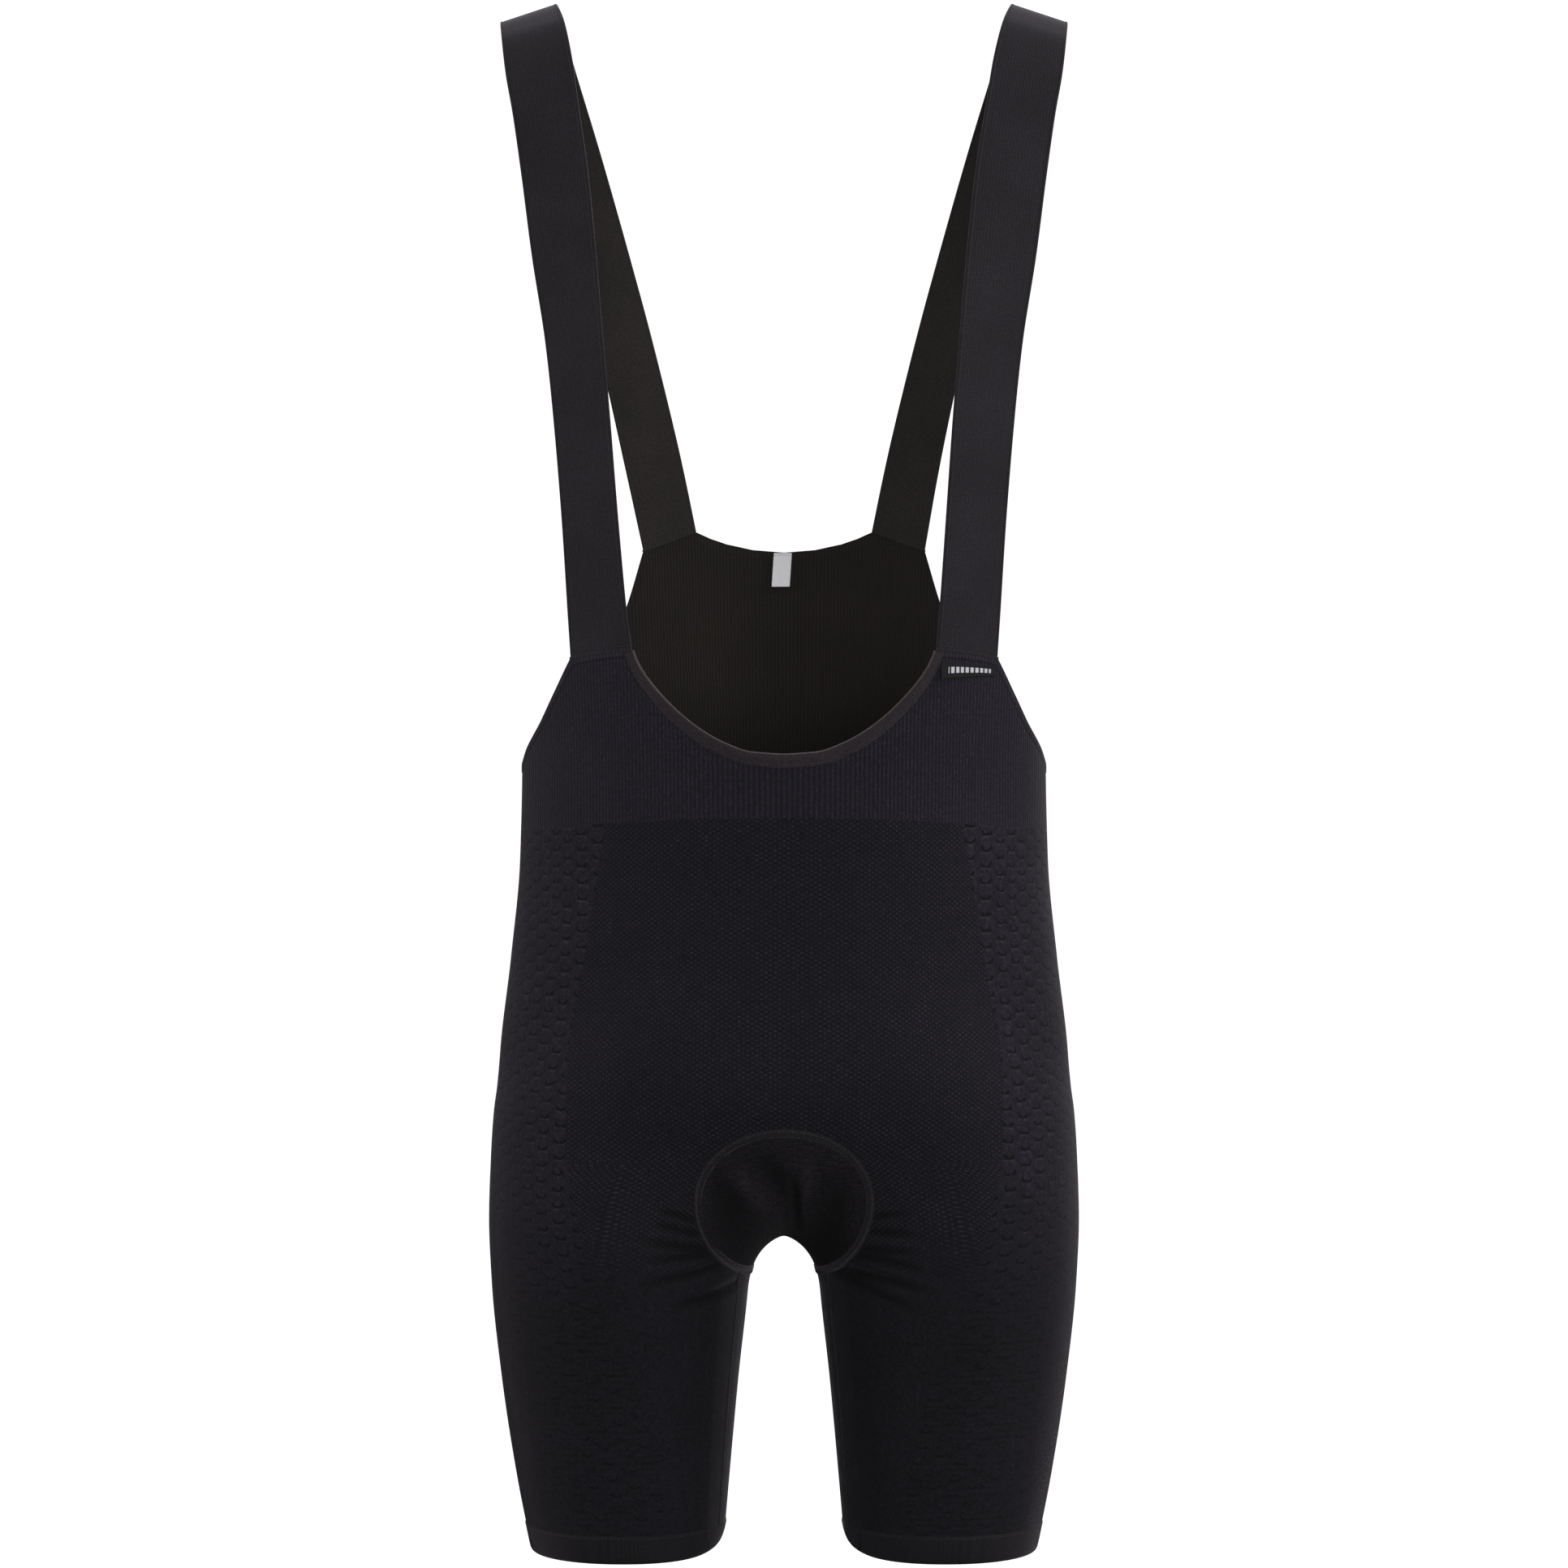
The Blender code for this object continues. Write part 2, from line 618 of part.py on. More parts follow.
def neck_binding(material):
    """The folded binding over the front neckline: a channel that wraps both faces of the panel's edge."""
    half = np.linspace(0, NECK_BINDING_END, NECK_BINDING_STEPS + 1)
    at_right = torso_point(half, edge_height(half))
    edge = np.concatenate([at_right[:0:-1] * [-1, 1, 1], at_right])
    tangents = np.gradient(edge, axis=0)
    tangents /= np.linalg.norm(tangents, axis=-1, keepdims=True)
    normals = outward(edge)
    inward = np.cross(tangents, normals)
    inward *= -np.sign(inward[:, 2:3])
    deep = edge + inward * NECK_BINDING_DEPTH
    deep -= outward(deep) * figure(deep[:, 0], deep[:, 1], deep[:, 2])[:, None]
    deep_normals = outward(deep)
    over = SEAM_GAP + TRIM_WALL
    under = PANEL_WALL + SEAM_GAP
    lines = [
        deep + deep_normals * over,
        edge + normals * over - inward * over,
        edge - normals * (under + TRIM_WALL) - inward * over,
        deep - deep_normals * (under + TRIM_WALL),
        deep - deep_normals * under,
        edge - normals * under - inward * SEAM_GAP,
        edge + normals * SEAM_GAP - inward * SEAM_GAP,
        deep + deep_normals * SEAM_GAP,
    ]
    bm = bmesh.new()
    stations = [[bm.verts.new(Vector(line[i])) for line in lines] for i in range(len(edge))]
    for here, there in zip(stations, stations[1:]):
        for i in range(len(lines)):
            j = (i + 1) % len(lines)
            bm.faces.new((here[i], here[j], there[j], there[i]))
    bm.faces.new(stations[0])
    bm.faces.new(stations[-1][::-1])
    return add_object("neck_binding", bm, material)


def care_label(material):
    """The small bare label that hangs inside the back neckline."""
    x = np.array([LABEL_LEFT, (LABEL_LEFT + LABEL_RIGHT) / 2, LABEL_RIGHT])
    sheet = []
    for z in (LABEL_TOP_Z, LABEL_TOP_Z - LABEL_HEIGHT):
        start = np.stack([x, 0 * x + TORSO_MIDDLE_Y, 0 * x + z], -1)
        sheet.append(cast(start, start + np.array([0, RAY_REACH, 0])))
    sheet = np.array(sheet)
    inside = outward(sheet)
    back = sheet - inside * (PANEL_WALL + 2 * SEAM_GAP)
    face = back - inside * TRIM_WALL
    return ribbon_wall("care_label", face, back, material)


def woven_tab(material):
    """The small bare tab sewn on below the strap at +X, laid over the binding's end."""
    columns = np.array(TAB_COLUMNS)
    standoffs = np.array(TAB_STANDOFFS)[:, None]
    face = []
    back = []
    for drop in (TAB_TOP_DROP, TAB_TOP_DROP + TAB_HEIGHT):
        points = torso_point(columns, edge_height(columns) - drop)
        normals = outward(points)
        back.append(points + normals * standoffs)
        face.append(points + normals * (standoffs + TRIM_WALL))
    return ribbon_wall("woven_tab", np.array(face), np.array(back), material)


def main():
    """Builds every piece of the shorts."""
    clear_scene()
    knit = make_material("seamless knit", KNIT_BLACK, CLOTH_ROUGHNESS)
    elastic = make_material("strap elastic", STRAP_BLACK, CLOTH_ROUGHNESS)
    binding = make_material("neck binding", BINDING_BLACK, CLOTH_ROUGHNESS)
    pad_cloth = make_material("pad cloth", PAD_BLACK, CLOTH_ROUGHNESS)
    white = make_material("label tape", LABEL_WHITE, LABEL_ROUGHNESS)
    black = make_material("tab tape", TAB_BLACK, LABEL_ROUGHNESS)

    opening = pad_prism("pad_opening", 0.0)
    trim = pad_prism("pad_trim", SEAM_GAP)

    front_start = INSEAM_COLUMN - RING_COLUMNS + SEAM_SHIFT
    front = [front_start, -1.0, *range(SIDE_COLUMN), SIDE_COLUMN - SEAM_SHIFT]
    back_columns = range(SIDE_COLUMN + 1, math.ceil(INSEAM_COLUMN))
    back = [SIDE_COLUMN + SEAM_SHIFT, *back_columns, INSEAM_COLUMN - SEAM_SHIFT]
    for name, columns in (("body_front", front), ("body_back", back)):
        cut_with(panel(name, columns, knit), opening, "DIFFERENCE")
    crotch_pad(pad_cloth, trim)

    for name, side in (("left", -1.0), ("right", 1.0)):
        strap(f"strap_{name}", side, elastic)
        leg_hem(f"leg_hem_{name}", side, knit)
    neck_binding(binding)
    care_label(white)
    woven_tab(black)


main()
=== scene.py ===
"""Bib liner shorts, dressed for display: knitted body, elastic straps, crotch pad, trims and stitches.

Frame: +Z up, the front of the garment faces -Y and +X is on the viewer's right. The origin lies
midway between the two strap crests. Units are metres. Every piece is a thin wall or a band laid on
one smooth figure, the blend of a torso and two legs.
"""

import logging
import math
from dataclasses import dataclass
from enum import Enum
from typing import Callable, Sequence, Union

import bpy
import numpy as np
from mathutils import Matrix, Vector
from mathutils.kdtree import KDTree


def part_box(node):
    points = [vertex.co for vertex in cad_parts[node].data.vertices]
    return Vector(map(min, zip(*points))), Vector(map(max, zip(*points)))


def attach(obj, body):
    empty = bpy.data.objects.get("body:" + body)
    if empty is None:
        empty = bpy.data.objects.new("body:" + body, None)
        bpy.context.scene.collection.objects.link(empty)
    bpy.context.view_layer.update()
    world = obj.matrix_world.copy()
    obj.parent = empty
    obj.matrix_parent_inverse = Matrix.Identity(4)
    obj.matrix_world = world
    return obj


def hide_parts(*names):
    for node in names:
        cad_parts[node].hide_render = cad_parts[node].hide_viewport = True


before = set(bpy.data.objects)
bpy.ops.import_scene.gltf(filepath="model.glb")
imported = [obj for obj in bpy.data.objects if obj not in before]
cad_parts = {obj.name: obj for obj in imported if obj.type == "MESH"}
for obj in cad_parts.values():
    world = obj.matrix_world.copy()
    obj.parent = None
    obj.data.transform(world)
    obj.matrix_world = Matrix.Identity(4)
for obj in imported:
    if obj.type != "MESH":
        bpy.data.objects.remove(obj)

Array = np.ndarray
Table = Sequence[Sequence[float]]
Row = tuple[Array, Array, bool]
Colour = tuple[float, float, float]
Shade = Union[Colour, bpy.types.NodeSocket]
Number = Union["Reading", float]

log = logging.getLogger("bib_liner_shorts")

BODY = "root"
MILLIMETRE = 0.001

# Walls and clearances, as in the solids
PANEL_WALL = 0.0012
STRAP_WALL = 0.0016
PAD_WALL = 0.0040
HEM_WALL = 0.0024
TRIM_WALL = 0.0010
SEAM_GAP = 0.0003

# Columns run round the garment from the centre front, over the side, to the centre back, and on
# along the crotch line back to the front; the ring of a leg has them all.
FRONT_STRAP_COLUMNS = (8.0, 11.0)
SIDE_COLUMN = 16.0
BACK_STRAP_COLUMNS = (23.0, 21.0)
BACK_COLUMN = 27.0
RING_COLUMNS = 36.0
INSEAM_COLUMN = 34.5

FORK_Z = -0.700
HEM_TOP_Z = -0.926
HEM_BOTTOM_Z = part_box("leg_hem_right")[0].z


class Side(Enum):
    """The two sides of the garment, with the sign of x."""

    LEFT = -1.0
    RIGHT = 1.0

    @property
    def mirror(self) -> Array:
        """Factors that put a shape made for +X on this side."""
        return np.array([self.value, 1.0, 1.0])


class Face(Enum):
    """The two faces of the garment, with the sign of y."""

    FRONT = -1.0
    BACK = 1.0


class Slot(Enum):
    """The record's material slots."""

    KNIT = "knit"
    STRAP = "strap"
    BINDING = "binding"
    PAD = "pad"
    LABEL = "label"
    TAB = "tab"


def smooth_step(share: Array) -> Array:
    """Eases a share between 0 and 1 at both ends."""
    return share * share * (3 - 2 * share)


def rounded(across: Array, along: Array, roundness: float) -> Array:
    """Level of a rounded oblong, 1 on it, from places in half widths and half depths."""
    return (across**roundness + along**roundness) ** (1 / roundness)


# ---------------- the figure


class SmoothTable:
    """A table of sections, read between its rows as a smooth curve without overshoot."""

    def __init__(self, table: Table) -> None:
        """Works out the tangents of every column.

        Args:
            table: rows whose first number is where they stand.
        """
        rows = np.array(sorted(table), dtype=float)
        self.knots = rows[:, 0]
        self.values = rows[:, 1:]
        self.spans = np.diff(self.knots)
        slopes = np.diff(self.values, axis=0) / self.spans[:, None]
        before = slopes[:-1]
        after = slopes[1:]
        same_sign = before * after > 0
        share_before = (2 * self.spans[1:] + self.spans[:-1])[:, None]
        share_after = (self.spans[1:] + 2 * self.spans[:-1])[:, None]
        inverse = share_before / np.where(same_sign, before, 1.0)
        inverse = inverse + share_after / np.where(same_sign, after, 1.0)
        inverse = np.where(same_sign, inverse, 1.0)
        middle = np.where(same_sign, (share_before + share_after) / inverse, 0.0)
        self.tangents = np.concatenate([slopes[:1], middle, slopes[-1:]])

    def at(self, where: Array) -> Array:
        """Reads the table.

        Args:
            where: values of its first column.

        Returns:
            The other columns at each of them.
        """
        where = np.clip(np.asarray(where, dtype=float), self.knots[0], self.knots[-1])
        row = np.clip(np.searchsorted(self.knots, where) - 1, 0, len(self.spans) - 1)
        span = self.spans[row][..., None]
        t = (where - self.knots[row])[..., None] / span
        return (
            self.values[row] * (1 + 2 * t) * (1 - t) ** 2
            + self.tangents[row] * span * t * (1 - t) ** 2
            + self.values[row + 1] * t * t * (3 - 2 * t)
            + self.tangents[row + 1] * span * t * t * (t - 1)
        )


def read(table: Table, where: Array, column: int = 1) -> Array:
    """A table's column, read in straight lines between rows whose first number is where they stand."""
    return np.interp(where, [row[0] for row in table], [row[column] for row in table])


@dataclass(frozen=True)
class Figure:
    """The general figure that fills the garment, and the garment's grid of columns on it."""

    # Torso sections: height, half width, front, back
    torso: SmoothTable = SmoothTable((
        (-0.28, 0.1660, -0.1080, 0.1080),
        (-0.38, 0.1650, -0.1070, 0.1030),
        (-0.46, 0.1617, -0.1050, 0.0990),
        (-0.52, 0.1630, -0.1040, 0.1000),
        (-0.58, 0.1686, -0.1040, 0.1090),
        (-0.64, 0.1754, -0.1050, 0.1240),
        (-0.70, 0.1780, -0.1040, 0.1330),
        (-0.76, 0.1780, -0.1000, 0.1330),
    ))
    # Sections of the leg at +X: height, inner side, outer side, front, back
    leg: SmoothTable = SmoothTable((
        (-0.60, 0.0120, 0.1640, -0.0900, 0.1150),
        (-0.66, 0.0160, 0.1778, -0.0930, 0.1220),
        (-0.70, 0.0180, 0.1810, -0.0930, 0.1230),
        (-0.74, 0.0192, 0.1822, -0.0910, 0.1170),
        (-0.78, 0.0218, 0.1803, -0.0870, 0.1040),
        (-0.84, 0.0282, 0.1737, -0.0800, 0.0900),
        (-0.90, 0.0337, 0.1642, -0.0750, 0.0800),
        (-0.95, 0.0380, 0.1540, -0.0720, 0.0740),
    ))
    # Upper edge of the knitted body: degrees from the centre front, height
    edge: Table = (
        (0.0, -0.4571), (9.7, -0.4556), (17.5, -0.4498), (24.0, -0.4416), (30.5, -0.4295),
        (35.0, -0.4183), (38.5, -0.4072), (40.2, -0.3994), (41.0, -0.3936), (46.5, -0.3946),
        (52.0, -0.3962), (57.0, -0.3983), (63.0, -0.4203), (69.0, -0.4380), (76.5, -0.4514),
        (82.0, -0.4592), (90.0, -0.4640), (102.0, -0.4565), (112.0, -0.4350), (121.0, -0.4020),
        (128.0, -0.3625), (133.0, -0.3259), (140.5, -0.3197), (148.4, -0.3132), (153.0, -0.3173),
        (158.5, -0.3208), (168.0, -0.3244), (180.0, -0.3260),
    )
    # The stretches of the upper edge that are curved: the neckline and the arm opening
    edge_curves: tuple[slice, slice] = (slice(0, 9), slice(11, 22))
    # Directions round a leg at the hem: column, degrees from the front towards the outer side
    leg_directions: Table = ((0.0, -49.0), (16.0, 90.0), (27.0, 221.0), (36.0, 311.0))
    torso_roundness: float = 2.35
    leg_roundness: float = 2.15
    cap_roundness: float = 2.2
    torso_middle_y: float = 0.012
    torso_cap: tuple[float, float] = (-0.640, -0.7486)
    leg_cap: tuple[float, float] = (-0.680, -0.560)
    blend_reach: float = 0.004
    crotch_blend: float = 0.034
    crotch_blend_width: float = 0.120
    blend_power: int = 4
    probe: float = 1.0e-4
    # How far from the middle plane the crotch is rounded
    crotch_rounding: float = 0.0020
    ray_reach: float = 0.25
    halvings: int = 19

    def capped(self, section: Array, height: Array, cap: tuple[float, float]) -> Array:
        """Closes a section's level with a rounded cap between the two heights of cap."""
        depth = np.maximum(0.0, (height - cap[0]) / (cap[1] - cap[0]))
        return rounded(section, depth, self.cap_roundness) - 1

    def torso_level(self, x: Array, y: Array, z: Array) -> Array:
        """Level of the torso form: negative inside, 0 on the surface."""
        half_width, front, back = np.moveaxis(self.torso.at(z), -1, 0)
        middle = self.torso_middle_y
        half_depth = np.where(y < middle, middle - front, back - middle)
        section = rounded(np.abs(x) / half_width, np.abs(y - middle) / half_depth, self.torso_roundness)
        return self.capped(section, z, self.torso_cap)

    def leg_level(self, x: Array, y: Array, z: Array) -> Array:
        """Level of the nearer leg form: negative inside, 0 on the surface."""
        inner, outer, front, back = np.moveaxis(self.leg.at(z), -1, 0)
        across = np.abs(np.abs(x) - (inner + outer) / 2) / ((outer - inner) / 2)
        along = np.abs(y - (front + back) / 2) / ((back - front) / 2)
        return self.capped(rounded(across, along, self.leg_roundness), z, self.leg_cap)

    def slope(self, level: Callable, x: Array, y: Array, z: Array) -> Array:
        """Gradient of a level by central differences."""
        step = self.probe
        gx = level(x + step, y, z) - level(x - step, y, z)
        gy = level(x, y + step, z) - level(x, y - step, z)
        gz = level(x, y, z + step) - level(x, y, z - step)
        return np.stack([gx, gy, gz], -1) / (2 * step)

    def scaled(self, level: Callable, x: Array, y: Array, z: Array) -> Array:
        """A level scaled to about metres from its surface."""
        steepness = np.linalg.norm(self.slope(level, x, y, z), axis=-1)
        return level(x, y, z) / np.maximum(steepness, 1e-6)

    def distance(self, x: Array, y: Array, z: Array) -> Array:
        """Distance to the figure: torso and legs, softly joined at the crotch."""
        x = np.hypot(x, self.crotch_rounding)
        torso = self.scaled(self.torso_level, x, y, z)
        leg = self.scaled(self.leg_level, x, y, z)
        widening = np.exp(-((x / self.crotch_blend_width) ** self.blend_power))
        reach = self.blend_reach + self.crotch_blend * widening
        overlap = np.maximum(reach - np.abs(torso - leg), 0) / reach
        return np.minimum(torso, leg) - overlap * overlap * reach / 4

    def outward(self, points: Array) -> Array:
        """Unit normals of the figure at these points."""
        return unit(self.slope(self.distance, *np.moveaxis(points, -1, 0)))

    def settle(self, points: Array, rounds: int = 2) -> Array:
        """Moves points that lie near the figure onto it."""
        for _ in range(rounds):
            gap = self.distance(*np.moveaxis(points, -1, 0))
            points = points - self.outward(points) * gap[..., None]
        return points

    def cast(self, start: Array, reach: Array) -> Array:
        """Where rays from inside the figure leave it.

        Args:
            start: where each ray starts, inside the figure.
            reach: how far each ray goes, as a vector.

        Returns:
            The points on the figure.
        """
        low = np.zeros(start.shape[:-1])
        high = np.ones(start.shape[:-1])
        for _ in range(self.halvings):
            middle = (low + high) / 2
            point = start + reach * middle[..., None]
            inside = self.distance(*np.moveaxis(point, -1, 0)) < 0
            low = np.where(inside, middle, low)
            high = np.where(inside, high, middle)
        return start + reach * high[..., None]

    def edge_height(self, column: Array) -> Array:
        """Height of the body's upper edge at a torso column."""
        turn, height = (np.interp(column, range(len(self.edge)), values) for values in zip(*self.edge))
        for curve in self.edge_curves:
            table = SmoothTable(self.edge[curve])
            inside = (turn > table.knots[0]) & (turn < table.knots[-1])
            height = np.where(inside, table.at(turn)[..., 0], height)
        return height

    def torso_point(self, column: Array, z: Array) -> Array:
        """Point of the torso at +X on a column and at a height."""
        turn = np.radians(np.interp(column, range(len(self.edge)), [row[0] for row in self.edge]))
        start = np.stack([0 * turn, 0 * turn + self.torso_middle_y, z + 0 * turn], -1)
        reach = np.stack([np.sin(turn), -np.cos(turn), 0 * turn], -1) * self.ray_reach
        point = self.cast(start, reach)
        on_middle = (turn <= 0) | (turn >= math.pi)
        point[..., 0] = np.where(on_middle, 0.0, point[..., 0])
        return point

    def crotch_point(self, column: Array) -> Array:
        """Point of the crotch line, in the plane x = 0, on a crotch column."""
        share = (column - BACK_COLUMN) / (RING_COLUMNS - BACK_COLUMN)
        turn = np.pi * np.clip(share, 0, 1)
        start = np.stack([0 * turn, 0 * turn + self.torso_middle_y, 0 * turn + FORK_Z], -1)
        reach = np.stack([0 * turn, np.cos(turn), -np.sin(turn)], -1) * self.ray_reach
        return self.cast(start, reach)

    def leg_axis(self, z: Array) -> Array:
        """Middle of a leg's section at a height."""
        inner, outer, front, back = np.moveaxis(self.leg.at(z), -1, 0)
        return np.stack([(inner + outer) / 2, (front + back) / 2, z], -1)

    def leg_top(self, column: Array) -> Array:
        """Where a leg's columns start: on the fork level of the torso, or on the crotch line."""
        on_torso = self.torso_point(np.minimum(column, BACK_COLUMN), FORK_Z + 0 * column)
        return np.where((column > BACK_COLUMN)[..., None], self.crotch_point(column), on_torso)

    def leg_rows(self, columns: Array, shares: Array, bottom: Union[float, Array]) -> Array:
        """Rows of points down the leg at +X.

        Args:
            columns: the columns, anywhere on the ring.
            shares: for each row 0 at the fork to 1 at the bottom.
            bottom: height of the last row, for all columns or for each.

        Returns:
            Points, one row for each share.
        """
        columns = np.mod(columns, RING_COLUMNS)
        top = self.leg_top(columns)
        axis_top = self.leg_axis(top[:, 2])
        turn_top = np.arctan2(top[:, 0] - axis_top[:, 0], axis_top[:, 1] - top[:, 1])
        turn_bottom = np.radians(read(self.leg_directions, columns))
        turn_top = turn_bottom + np.mod(turn_top - turn_bottom + np.pi, 2 * np.pi) - np.pi
        share = np.asarray(shares, dtype=float)[:, None]
        turn = turn_top * (1 - np.sqrt(share)) + turn_bottom * np.sqrt(share)
        start = self.leg_axis(top[:, 2] * (1 - share) + bottom * share)
        direction = np.stack([np.sin(turn), -np.cos(turn), 0 * turn], -1)
        towards_middle = np.maximum(-direction[..., 0], 1e-6)
        to_middle = np.where(direction[..., 0] < 0, start[..., 0] / towards_middle, self.ray_reach)
        length = np.minimum(to_middle, self.ray_reach)
        rows = self.cast(start, direction * length[..., None])
        return np.where((share > 0)[..., None], rows, top)

    def neck_edge(self, columns: Array, drop: float = 0.0) -> Array:
        """Points on the body's upper edge, or a drop below it."""
        return self.torso_point(columns, self.edge_height(columns) - drop)


FIGURE = Figure()


# ---------------- zones of the knit


@dataclass(frozen=True)
class KnitZones:
    """Where each structure of the knit lies, as signed distances in metres."""

    # Lower end of the ribs: distance from the middle, height
    rib_end: Table = ((0.0, -0.4940), (0.06, -0.4945), (0.12, -0.4985), (0.165, -0.5020))
    # Boundary of the honeycomb side fields: height, distance from the middle
    side_edge: Table = (
        (-0.9430, 0.0700), (-0.8669, 0.0766), (-0.8346, 0.0892), (-0.7746, 0.1153),
        (-0.7471, 0.1216), (-0.6950, 0.1312), (-0.6349, 0.1303), (-0.5890, 0.1216),
        (-0.4996, 0.1071),
    )
    # The mesh of the centre field fades out between these heights
    mesh_fade: tuple[float, float] = (-0.785, -0.735)

    def ribs(self, points: Array) -> Array:
        """Height above the end of the ribs."""
        return points[:, 2] - read(self.rib_end, np.abs(points[:, 0]))

    def sides(self, points: Array) -> Array:
        """Distance inside the honeycomb side fields."""
        return np.abs(points[:, 0]) - read(self.side_edge, points[:, 2])

    def plain(self, points: Array) -> Array:
        """How far the centre field has faded to plain knit, from 0 to 1."""
        low, high = self.mesh_fade
        return smooth_step(np.clip((high - points[:, 2]) / (high - low), 0, 1))


ZONES = KnitZones()


@dataclass(frozen=True)
class Crease:
    """One soft trough or ridge in the cloth, placed in the garment's own sizes."""

    start: tuple[float, float]
    end: tuple[float, float]
    half_width: float
    depth: float
    face: Face
    bow: float
    # How far it has already risen at its start and at its end, as shares of half a turn
    onset: tuple[float, float]
    swelling: float = 0.8
    # The cloth pushed up beside it: height as a share of the depth, place and spread in half widths
    shoulder: float = 0.28
    shoulder_place: float = 1.8
    shoulder_spread: float = 0.6

    def shape(self, points: Array) -> tuple[Array, Array]:
        """Where points lie on the crease.

        Args:
            points: the points.

        Returns:
            For each its distance from the crease in half widths, and how far the crease has risen there.
        """
        run = np.array([self.end[0] - self.start[0], self.end[1] - self.start[1]])
        length = np.linalg.norm(run)
        x = points[:, 0] - self.start[0]
        z = points[:, 2] - self.start[1]
        along = (x * run[0] + z * run[1]) / length**2
        across = (z * run[0] - x * run[1]) / length
        inside = np.clip(along, 0, 1)
        across = across - self.bow * 4 * inside * (1 - inside)
        beyond = (along - inside) * length
        first, last = self.onset
        swell = np.sin(np.pi * (first + (1 - first - last) * inside)) ** self.swelling
        on_face = points[:, 1] * self.face.value > 0
        return np.hypot(across, beyond) / self.half_width, np.where(on_face, swell, 0.0)

    def lift(self, points: Array) -> Array:
        """How far the crease moves each point along the cloth's normal."""
        offset, risen = self.shape(points)
        beside = np.exp(-((offset - self.shoulder_place) ** 2) / self.shoulder_spread)
        return (self.shoulder * beside - np.exp(-(offset**2))) * self.depth * risen

    def shade(self, points: Array) -> Array:
        """How deep in the crease each point lies, from 0 to 1, or to -1 on a ridge; the finishes turn it into
        painted shade in a trough and a painted highlight on a ridge.
        """
        offset, risen = self.shape(points)
        return np.sign(self.depth) * np.exp(-(offset**2)) * risen


# ---------------- meshes


def added(name: str, data: bpy.types.ID) -> bpy.types.Object:
    """A new object of the scene."""
    piece = bpy.data.objects.new(name, data)
    bpy.context.scene.collection.objects.link(piece)
    return piece


